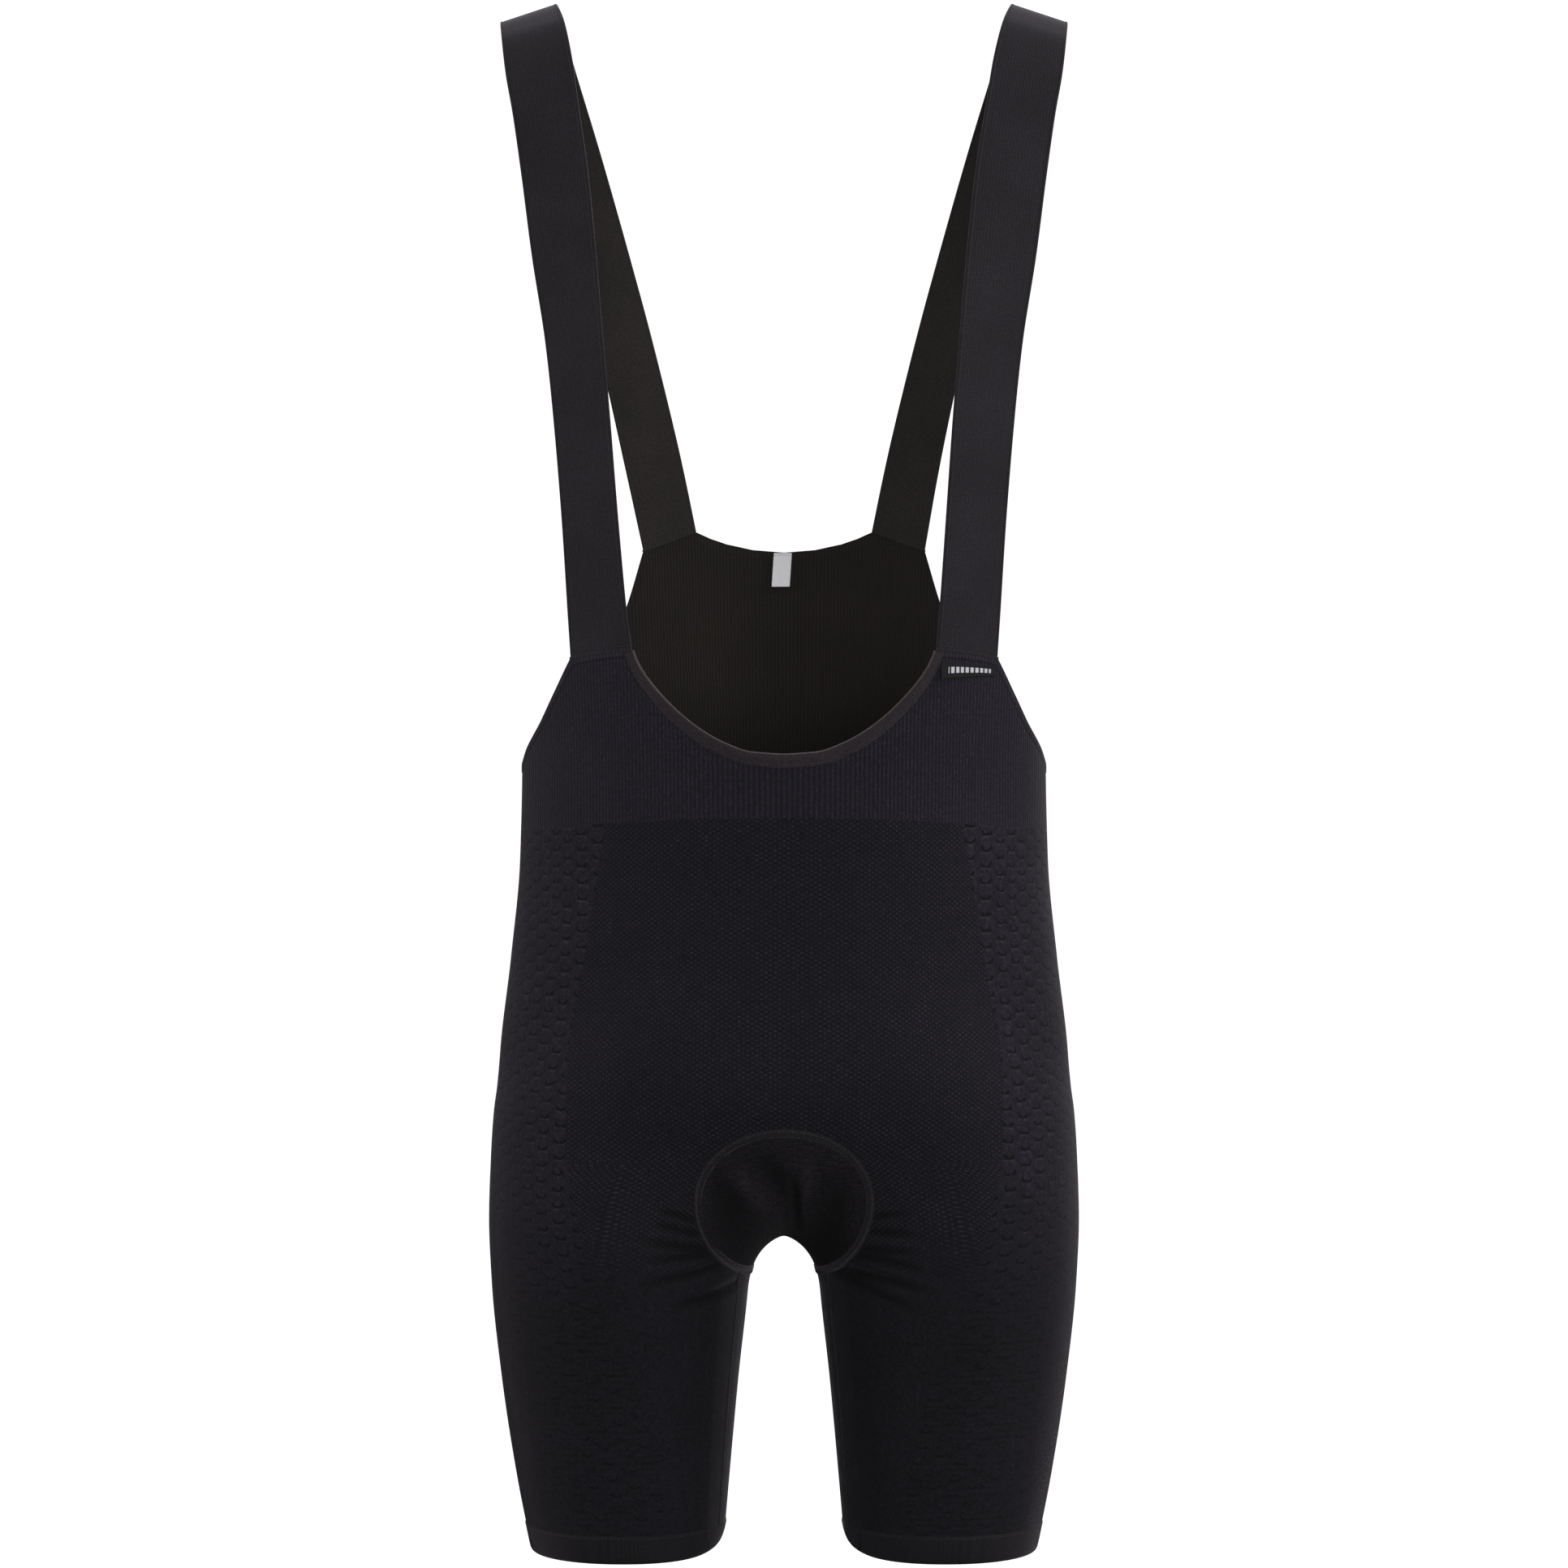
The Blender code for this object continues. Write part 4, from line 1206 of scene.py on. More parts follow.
class Finish(Enum):
    """The finishes of the garment."""

    KNIT = SeamlessKnit()
    INSIDE = InsideKnit("knit_inside")
    STRAP = FineKnit(
        "strap_elastic", srgb(22, 20, 24), srgb(54, 49, 57), wale=0.0016, course=0.0012, sheen=0.2,
    )
    STRAP_INSIDE = FineKnit("strap_inside", srgb(28, 25, 24), srgb(58, 52, 50), tint=(1.0, 0.94, 0.90))
    BINDING = FineKnit("neck_binding_tape", srgb(31, 27, 30), srgb(66, 57, 63), wale=0.0016, sheen=0.2)
    # Painted highlight on the binding's rolled outer edge
    BINDING_EDGE = FineKnit("neck_binding_edge", srgb(58, 51, 50), srgb(104, 92, 88), wale=0.0016, sheen=0.2)
    HEM = FineKnit(
        "hem_welt", srgb(15, 14, 16), srgb(34, 31, 36), wale=0.0024, course=0.0011, relief=0.25, sheen=0.15,
    )
    PAD = FineKnit(
        "pad_cloth", srgb(19, 17, 20), srgb(48, 43, 49), wale=0.0014, relief=0.3, sheen=0.04,
        tint=(1.0, 0.95, 1.0), contrast=0.10, slub=(0.3, 0.8, 1.1), speckle=1.7,
    )
    PAD_INSIDE = FineKnit("pad_inside", srgb(22, 21, 22), srgb(44, 42, 43), relief=0.3)
    SEAM = FineKnit("seam_cover", srgb(18, 17, 20), srgb(42, 39, 44), wale=0.0011, relief=0.2, sheen=0.2)
    THREAD = Thread("sewing_thread", srgb(30, 28, 32), srgb(62, 57, 64))
    BRIGHT_THREAD = Thread("seam_thread", srgb(40, 37, 42), srgb(78, 72, 80))
    LABEL = WovenTape("label_tape", srgb(240, 241, 244), srgb(252, 252, 254))
    TAB = WovenTape("tab_tape", srgb(7, 7, 8), srgb(18, 17, 20), dash=srgb(212, 212, 218))

    @property
    def material(self) -> bpy.types.Material:
        """The finish's material, made on first use."""
        return bpy.data.materials.get(self.value.name) or self.value.make()


# ---------------- stitches


@dataclass(frozen=True)
class Stitch:
    """One kind of stitch: its pitch, length and thickness, its slant to the row in degrees and its thread."""

    pitch: float
    length: float
    thickness: float
    slant: float = 0.0
    finish: Finish = Finish.THREAD


@dataclass(frozen=True)
class Stitching:
    """A Geometry Nodes tree that sews one small thread after another along paths."""

    name: str = "stitches_along_paths"
    sides: int = 6
    rings: int = 4
    # How far a stitch may turn from its slant, in radians
    wobble: float = 0.10
    seed: int = 7
    sizes: Sequence[str] = ("Pitch", "Length", "Thickness", "Turn", "Wobble")

    def tree(self) -> bpy.types.NodeTree:
        """The tree, built on first use."""
        return bpy.data.node_groups.get(self.name) or self.build()

    def build(self) -> bpy.types.NodeTree:
        """Builds the tree with its named inputs.

        Returns:
            The node group.
        """
        tree = bpy.data.node_groups.new(self.name, "GeometryNodeTree")
        interface = tree.interface
        interface.new_socket("Geometry", in_out="OUTPUT", socket_type="NodeSocketGeometry")
        kinds = {"Geometry": "Geometry", "Seed": "Int", "Thread": "Material"}
        kinds.update({size: "Float" for size in self.sizes})
        for label, kind in kinds.items():
            interface.new_socket(label, in_out="INPUT", socket_type="NodeSocket" + kind)
        add = NodeBoard(tree).add
        given = tree.nodes.new("NodeGroupInput").outputs
        curve = add("GeometryNodeMeshToCurve", {}, {"Mesh": given["Geometry"]})
        spacing = {"Curve": curve.outputs[0], "Length": given["Pitch"]}
        even = add("GeometryNodeResampleCurve", {"mode": "LENGTH"}, spacing)
        shape = {"Segments": self.sides, "Rings": self.rings, "Radius": 0.5}
        thread = add("GeometryNodeMeshUVSphere", {}, shape)
        tangent = add("GeometryNodeInputTangent", {}, {})
        facing = add("GeometryNodeInputNamedAttribute", {"data_type": "FLOAT_VECTOR"}, {"Name": "facing"})
        along = add("FunctionNodeAlignRotationToVector", {"axis": "X"}, {"Vector": tangent.outputs[0]})
        upright = add(
            "FunctionNodeAlignRotationToVector",
            {"axis": "Z", "pivot_axis": "X"},
            {"Rotation": along.outputs[0], "Vector": facing.outputs[0]},
        )
        chance = {"Min": -1.0, "Max": 1.0, "Seed": given["Seed"]}
        sway = add("FunctionNodeRandomValue", {"data_type": "FLOAT"}, chance)
        sway_turn = add("ShaderNodeMath", {"operation": "MULTIPLY"}, {0: sway.outputs[1], 1: given["Wobble"]})
        turn = add("ShaderNodeMath", {"operation": "ADD"}, {0: given["Turn"], 1: sway_turn.outputs[0]})
        euler = add("ShaderNodeCombineXYZ", {}, {"Z": turn.outputs[0]})
        turned = add(
            "FunctionNodeRotateRotation",
            {"rotation_space": "LOCAL"},
            {"Rotation": upright.outputs[0], "Rotate By": euler.outputs[0]},
        )
        lengths = {"X": given["Length"], "Y": given["Thickness"], "Z": given["Thickness"]}
        size = add("ShaderNodeCombineXYZ", {}, lengths)
        links = {"Points": even, "Instance": thread, "Rotation": turned, "Scale": size}
        links = {socket: node.outputs[0] for socket, node in links.items()}
        placed = add("GeometryNodeInstanceOnPoints", {}, links)
        real = add("GeometryNodeRealizeInstances", {}, {"Geometry": placed.outputs[0]})
        smooth = add("GeometryNodeSetShadeSmooth", {}, {"Geometry": real.outputs[0]})
        finish = {"Geometry": smooth.outputs[0], "Material": given["Thread"]}
        dressed = add("GeometryNodeSetMaterial", {}, finish)
        add("NodeGroupOutput", {}, {0: dressed.outputs[0]})
        return tree

    def sew(self, name: str, rows: Sequence[Row], stitch: Stitch) -> bpy.types.Object:
        """Sews stitches along paths and makes them one plain mesh.

        Args:
            name: the piece's name.
            rows: for each row its points, the cloth's normals there, and whether it is closed.
            stitch: the kind of stitch.

        Returns:
            The stitches.
        """
        points = np.concatenate([row[0] for row in rows])
        facing = np.concatenate([row[1] for row in rows])
        edges = []
        start = 0
        for path, _, closed in rows:
            count = len(path)
            steps = np.arange(count if closed else count - 1)
            edges.append(np.stack([start + steps, start + (steps + 1) % count], -1))
            start += count
        mesh = bpy.data.meshes.new(name + "_path")
        mesh.from_pydata(points.tolist(), np.concatenate(edges).tolist(), [])
        layer = mesh.attributes.new("facing", "FLOAT_VECTOR", "POINT")
        layer.data.foreach_set("vector", facing.astype(np.float32).ravel())
        guide = added(name + "_path", mesh)
        modifier = guide.modifiers.new("stitches", "NODES")
        modifier.node_group = self.tree()
        sizes = (stitch.pitch, stitch.length, stitch.thickness, math.radians(stitch.slant), self.wobble)
        values = {**dict(zip(self.sizes, sizes)), "Seed": self.seed, "Thread": stitch.finish.material}
        for item in modifier.node_group.interface.items_tree:
            if item.in_out == "INPUT" and item.name in values:
                modifier[item.identifier] = values[item.name]
        evaluated = guide.evaluated_get(bpy.context.evaluated_depsgraph_get())
        sewn = bpy.data.meshes.new_from_object(evaluated)
        sewn.name = name
        bpy.data.objects.remove(guide)
        if "facing" in sewn.attributes:
            sewn.attributes.remove(sewn.attributes["facing"])
        return added(name, sewn)


STITCHING = Stitching()


def place(piece: bpy.types.Object, slot: Slot, nodes: Sequence[str] = ()) -> None:
    """Attaches a finished piece to the body, hides the solids that it stands for and logs it.

    Args:
        piece: the piece.
        slot: its material slot; not used.
        nodes: the solids that it stands for.
    """
    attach(piece, BODY)
    if nodes:
        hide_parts(*nodes)
    log.info("%s: %d faces, stands for %s", piece.name, len(piece.data.polygons), nodes or "no solid")


# ---------------- the crotch pad's outline


@dataclass(frozen=True)
class PadOutline:
    """Outline of the crotch pad, seen from the front and from the back."""

    centre_z: float = -0.7235
    drop: float = 0.0525
    roundness: float = 2.05
    # Stations from front to back: depth, half width, rise
    stations: Table = (
        (-0.160, 0.0520, 0.0420),
        (0.000, 0.0520, 0.0420),
        (0.060, 0.0600, 0.0745),
        (0.180, 0.0600, 0.0745),
    )
    longest_step: float = 0.0025

    def level(self, x: Array, y: Array, z: Array) -> Array:
        """Level of the outline: negative inside, 0 on it."""
        across = np.abs(x) / read(self.stations, y)
        reach = np.where(z > self.centre_z, read(self.stations, y, 2), self.drop)
        along = np.abs(z - self.centre_z) / reach
        return rounded(across, along, self.roundness) - 1

    def distance(self, points: Array) -> Array:
        """About the distance from the outline, negative inside it."""
        return FIGURE.scaled(self.level, *points.T)

    def snapped(self, points: Array) -> Array:
        """Slides points over the figure onto the outline.

        Args:
            points: points on the figure near the outline.

        Returns:
            The points on it.
        """
        for _ in range(4):
            x, y, z = points.T
            normals = FIGURE.outward(points)
            uphill = FIGURE.slope(self.level, x, y, z)
            uphill = uphill - normals * (uphill * normals).sum(1, keepdims=True)
            step = uphill * (self.level(x, y, z) / (uphill**2).sum(1))[:, None]
            length = np.linalg.norm(step, axis=1, keepdims=True)
            points = points - step * np.minimum(1.0, self.longest_step / np.maximum(length, 1e-9))
            points[:, 0] = np.where(np.abs(x) < 1e-7, 0.0, points[:, 0])
            points = FIGURE.settle(points, 1)
        return points

    def trimmed(self, surface: Surface, inside: bool) -> Surface:
        """The part of a surface on one side of the outline, with its new rim on the outline.

        Args:
            surface: the surface to trim.
            inside: whether the part inside the outline stays.

        Returns:
            The trimmed surface.
        """
        gap = self.distance(surface.points)
        middle = gap[surface.faces].mean(1)
        kept = middle < 0 if inside else middle > 0
        part = Surface(surface.points, surface.weave, surface.faces[kept], surface.finish[kept]).packed()
        old_rim = {tuple(point) for point in np.round(surface.points[np.unique(surface.rim())], 6)}
        rim = np.unique(part.rim())
        fresh = np.array([i for i in rim if tuple(np.round(part.points[i], 6)) not in old_rim])
        part.points[fresh] = self.snapped(part.points[fresh])
        return part


PAD_OUTLINE = PadOutline()


# ---------------- the knitted body


@dataclass(frozen=True)
class KnitGrid:
    """The grid of wales and courses that the body and the pad are sampled on."""

    spacing: float = 0.0025
    # The cloth's repeats fit a whole number of times between the centre front and the centre back
    repeat: float = 0.0140
    leg_share: float = 0.35
    row_easing: float = 1.3

    def columns(self, first: float, last: float) -> Array:
        """Chooses columns, as even along the cloth as the corners on whole columns allow.

        Args:
            first: the first column.
            last: the last column.

        Returns:
            The columns from the first to the last.
        """
        knots = np.unique([first, *np.arange(math.ceil(first), math.floor(last) + 1), last])
        rows = FIGURE.leg_rows(knots, np.array([0.0, self.leg_share]), HEM_TOP_Z)
        lengths = np.linalg.norm(np.diff(rows, axis=1), axis=2).max(0)
        columns = [first]
        for start, end, length in zip(knots, knots[1:], lengths):
            steps = max(1, round(length / self.spacing))
            columns.extend(np.linspace(start, end, steps + 1)[1:])
        return np.array(columns)

    def across(self, columns: Array) -> Array:
        """Measures across the wales.

        Args:
            columns: columns, which may run past a whole turn.

        Returns:
            The distance of each from the centre front, in metres.
        """
        knots = np.arange(0, RING_COLUMNS + 0.125, 0.25)
        ring = FIGURE.leg_rows(knots, np.array([0.0, self.leg_share]), HEM_TOP_Z)
        on_torso = np.linalg.norm(np.diff(ring[0], axis=0), axis=1)
        on_leg = np.linalg.norm(np.diff(ring[1], axis=0), axis=1)
        steps = np.where(knots[1:] <= BACK_COLUMN, on_torso, on_leg)
        place = np.concatenate([[0.0], np.cumsum(steps)])
        to_back = place[knots == BACK_COLUMN][0]
        place *= round(to_back / self.repeat) * self.repeat / to_back
        turns = np.floor(columns / RING_COLUMNS)
        return np.interp(columns - turns * RING_COLUMNS, knots, place) + turns * place[-1]

    def half(self, columns: Array, rows: Array, leg_rows: Array, top: Union[float, None] = None) -> Surface:
        """The half of the cloth at +X.

        Args:
            columns: the columns; negative ones lie on the inner leg.
            rows: shares of the way from the upper edge to the fork.
            leg_rows: shares of the way from the fork to the hem.
            top: height of a level upper edge, in place of the body's own.

        Returns:
            The surface, facing outwards.
        """
        wrapped = np.mod(columns, RING_COLUMNS)
        on_torso = wrapped <= BACK_COLUMN
        start = FIGURE.edge_height(wrapped) if top is None else np.full(len(columns), top)
        heights = start * (1 - rows[:, None]) + FORK_Z * rows[:, None]
        torso = np.full((*heights.shape, 3), np.nan)
        heights = heights[:, on_torso]
        torso[:, on_torso] = FIGURE.torso_point(wrapped[on_torso] + 0 * heights, heights)
        legs = FIGURE.leg_rows(columns, np.concatenate([[0.0], leg_rows**self.row_easing]), HEM_TOP_Z)
        on_middle = legs[..., 0] < 1e-6
        legs[on_middle] = FIGURE.settle(legs[on_middle])
        points = np.concatenate([torso[:-1], legs])
        across = np.broadcast_to(self.across(columns), points.shape[:2])
        steps = np.nan_to_num(np.linalg.norm(np.diff(points, axis=1), axis=2))
        round_row = np.concatenate([np.zeros((len(points), 1)), np.cumsum(steps, axis=1)], axis=1)
        side = np.argmin(np.abs(columns - SIDE_COLUMN))
        from_side = round_row - round_row[:, side : side + 1]
        return Surface.grid(points, np.stack([across, points[..., 2], from_side], -1))


GRID = KnitGrid()


@dataclass
class KnitPanel:
    """One half of the knitted body, front or back, with both legs."""

    name: str
    node: str
    first_column: float
    last_column: float
    torso_rows: int
    leg_rows: int
    cut: tuple[float, float]
    creases: Sequence[Crease]
    edge_rows: Sequence[float] = (0.0, 0.003, 0.006, 0.009, 0.012, 0.016, 0.020, 0.026)
    # The turned edge: depth, half width of its step, spread of its groove, height, the groove's share of it
    turned_edge: float = 0.0034
    edge_step: float = 0.0004
    edge_groove: float = 0.0006
    edge_relief: float = 0.00030
    groove_share: float = 0.7
    # The upper edge is followed at so many places, down to this far below its lowest point at the side
    edge_places: int = 700
    edge_reach: float = 0.03
    # Distances from the pad's outline between which the creases come up
    held_by_pad: tuple[float, float] = (0.0014, 0.0048)
    # The cloth is cut to this share of its worn area
    cut_share: float = 0.95

    def edge_gap(self, points: Array) -> Array:
        """Distance from the body's upper edge.

        Args:
            points: points of the cloth.

        Returns:
            The distance of each; points far below the edge read as 1.
        """
        right = FIGURE.neck_edge(np.linspace(0, BACK_COLUMN, self.edge_places))
        path = np.concatenate([right, right * Side.LEFT.mirror])
        tree = KDTree(len(path))
        for number, point in enumerate(path):
            tree.insert(point, number)
        tree.balance()
        near = points[:, 2] > FIGURE.edge_height(SIDE_COLUMN) - self.edge_reach
        gap = np.full(len(points), 1.0)
        gap[near] = [tree.find(point)[2] for point in points[near]]
        return gap

    def edge_lift(self, gap: Array) -> Array:
        """The turned edge: a raised border with a groove at its seam."""
        border = np.clip((self.turned_edge + self.edge_step - gap) / (2 * self.edge_step), 0, 1)
        groove = np.exp(-(((gap - self.turned_edge - self.edge_groove) / self.edge_groove) ** 2))
        return self.edge_relief * (smooth_step(border) - self.groove_share * groove)

    def make(self) -> None:
        """Builds the panel's closed wall with its creases and turned edge."""
        columns = GRID.columns(self.first_column, self.last_column)
        rest = np.linspace(self.edge_rows[-1], 1, self.torso_rows)[1:]
        rows = np.concatenate([self.edge_rows, rest])
        leg_rows = np.linspace(0, 1, self.leg_rows + 1)[1:]
        half = GRID.half(columns, rows, leg_rows)
        cloth = PAD_OUTLINE.trimmed(half.joined(half.mirrored()), inside=False)
        normals = FIGURE.outward(cloth.points)
        gap = self.edge_gap(cloth.points)
        # The seam round the pad holds the cloth flat beside it
        held, let_go = self.held_by_pad
        free = np.clip((PAD_OUTLINE.distance(cloth.points) - held) / (let_go - held), 0, 1)
        lift = self.edge_lift(gap) + free * sum(crease.lift(cloth.points) for crease in self.creases)
        # Painted shade in the creases' troughs and painted highlight on their ridges, handed to the knit as
        # its crease value
        shade = free * sum(crease.shade(cloth.points) for crease in self.creases)
        zones = {
            "ribs": ZONES.ribs(cloth.points),
            "sides": ZONES.sides(cloth.points),
            "plain": ZONES.plain(cloth.points),
            "edge_gap": gap,
            "crease": shade,
        }
        zones = {zone: np.tile(values, 2) for zone, values in zones.items()}
        cloth.points = cloth.points + normals * lift[:, None]
        wall = cloth.walled(normals, PANEL_WALL, inner_finish=1)
        panel = wall.to_object(self.name, (Finish.KNIT, Finish.INSIDE), zones)
        place(panel, Slot.KNIT, [self.node])
        width, length = self.cut
        area = round(self.cut_share * wall.area(0), 3)
        min(area, width * length)
        log.info("%s: %.3f square metres of cloth, cut %.3f", self.name, wall.area(0), area)


# ---------------- bands laid on the figure


@dataclass(frozen=True)
class SeamBand:
    """The cross-section of a flat cover seam: low, rounded, with looper threads along it."""

    width: float
    height: float
    ridges: int = 3
    samples: int = 17
    depth: float = 0.0006

    def profile(self) -> tuple[Array, Array]:
        """Places across the band from edge to edge, and the height of its face at each."""
        across = np.linspace(-1, 1, self.samples)
        dome = (1 - np.abs(across) ** 5) ** 0.8
        ridge = 0.5 + 0.5 * np.cos(np.pi * self.ridges * (across + 1))
        return across * self.width / 2, self.height * dome * (0.78 + 0.22 * ridge)

    def lay(self, path: Array, closed: bool, lift: Union[Callable, None] = None) -> Surface:
        """Lays the band along a path on the figure.

        Args:
            path: points on the figure.
            closed: whether the path is a ring.
            lift: gives for points how far the cloth stands off the figure there.

        Returns:
            The band as a closed tube.
        """
        across, heights = self.profile()
        tangents = tangents_of(path, closed)
        sideways = np.cross(tangents, FIGURE.outward(path))
        sections = []
        for place_across, height in zip(across, heights):
            base = FIGURE.settle(path + sideways * place_across, 1)
            normals = FIGURE.outward(base)
            cloth = lift(base)[:, None] if lift else 0.0
            sections.append(base + normals * (height + cloth))
            sections.insert(0, base - normals * (self.depth - cloth))
        sections = np.stack(sections, 1)
        along = np.broadcast_to(travelled(path)[:, None], sections.shape[:2])
        beside = np.broadcast_to(np.concatenate([across[::-1], across]), sections.shape[:2])
        return sweep(sections, np.stack([beside, along], -1), closed)


def laid_row(path: Array, offset: float, height: float, closed: bool) -> Row:
    """A row beside a path on the figure, for stitches.

    Args:
        path: points on the figure.
        offset: distance from the path, to its right.
        height: distance above the figure.
        closed: whether the path is a ring.

    Returns:
        The row's points, the normals there, and whether it is closed.
    """
    sideways = np.cross(tangents_of(path, closed), FIGURE.outward(path))
    base = FIGURE.settle(path + sideways * offset, 1)
    normals = FIGURE.outward(base)
    return base + normals * height, normals, closed


# ---------------- the crotch pad


@dataclass
class CrotchPad:
    """The moulded pad insert, its flatlock seam and its stitches."""

    top_z: float = -0.640
    spacing: float = 0.0016
    # The columns that it reaches to behind and in front, and its reach down the legs with the rows there
    last_columns: tuple[float, float] = (18.0, 9.0)
    leg_reach: float = 0.52
    leg_rows: int = 69
    fill: float = 0.35
    folds: Sequence[Crease] = ()
    # Shares of the way to facing straight forward or back between which the folds come up
    folded_from: tuple[float, float] = (0.30, 0.60)
    band: SeamBand = SeamBand(width=0.0054, height=0.0006)
    outline_step: float = 0.0012
    # Rows of stitches on the seam: distance outwards from its middle, height over the figure
    cover_row: tuple[float, float] = (0.0012, 0.00062)
    chain_rows: Table = ((-0.0008, 0.0006), (-0.0021, 0.00045))
    cover: Stitch = Stitch(0.00115, 0.0024, 0.00046, slant=87.0, finish=Finish.BRIGHT_THREAD)
    chain: Stitch = Stitch(0.0022, 0.0019, 0.00034, slant=6.0)

    def lift(self, points: Array, normals: Array) -> Array:
        """Folds pressed into the pad, which run out where it turns under the crotch.

        Args:
            points: points of the pad.
            normals: its normals.

        Returns:
            How far each point moves along its normal.
        """
        low, high = self.folded_from
        share = np.clip((np.abs(normals[:, 1]) - low) / (high - low), 0, 1)
        return smooth_step(share) * sum(fold.lift(points) for fold in self.folds)

    def make(self) -> None:
        """Builds the insert, the seam band over its outline and the stitches on the band."""
        grid = KnitGrid(spacing=self.spacing)
        behind, before = self.last_columns
        columns = grid.columns(behind, RING_COLUMNS) - RING_COLUMNS
        columns = np.concatenate([columns, grid.columns(0.0, before)[1:]])
        rows = np.linspace(0, 1, round((self.top_z - FORK_Z) / self.spacing))
        shares = np.linspace(0, self.leg_reach, self.leg_rows + 1)[1:]
        half = grid.half(columns, rows, shares, top=self.top_z)
        insert = PAD_OUTLINE.trimmed(half.joined(half.mirrored()), inside=True)
        ring = insert.loops()[0]
        outline = insert.points[ring]
        normals = FIGURE.outward(insert.points)
        insert.weave = insert.points[:, [0, 2, 1]]
        # Painted shade in the folds' troughs and painted highlight on their ridges, as the pad's crease value
        zones = {"crease": np.tile(sum(fold.shade(insert.points) for fold in self.folds), 2)}
        insert.points = insert.points + normals * self.lift(insert.points, normals)[:, None]
        wall = insert.walled(normals, PAD_WALL, inner_finish=1)
        pad = wall.to_object("pad_insert", (Finish.PAD, Finish.PAD_INSIDE), zones)
        place(pad, Slot.PAD, ["crotch_pad"])

        path = FIGURE.settle(smoothed(spaced(outline, self.outline_step, True), 30, True))
        place(self.band.lay(path, True).to_object("pad_seam", (Finish.SEAM,)), Slot.PAD)
        sideways = np.cross(tangents_of(path, True), FIGURE.outward(path))
        middle = np.array([0.0, 0.0, PAD_OUTLINE.centre_z])
        outer = 1.0 if (sideways * (path - middle)).sum() > 0 else -1.0
        for name, rows, stitch in (
            ("pad_stitches", (self.cover_row,), self.cover),
            ("pad_chain", self.chain_rows, self.chain),
        ):
            laid = [laid_row(path, outer * offset, height, True) for offset, height in rows]
            place(STITCHING.sew(name, laid, stitch), Slot.PAD)


# ---------------- straps


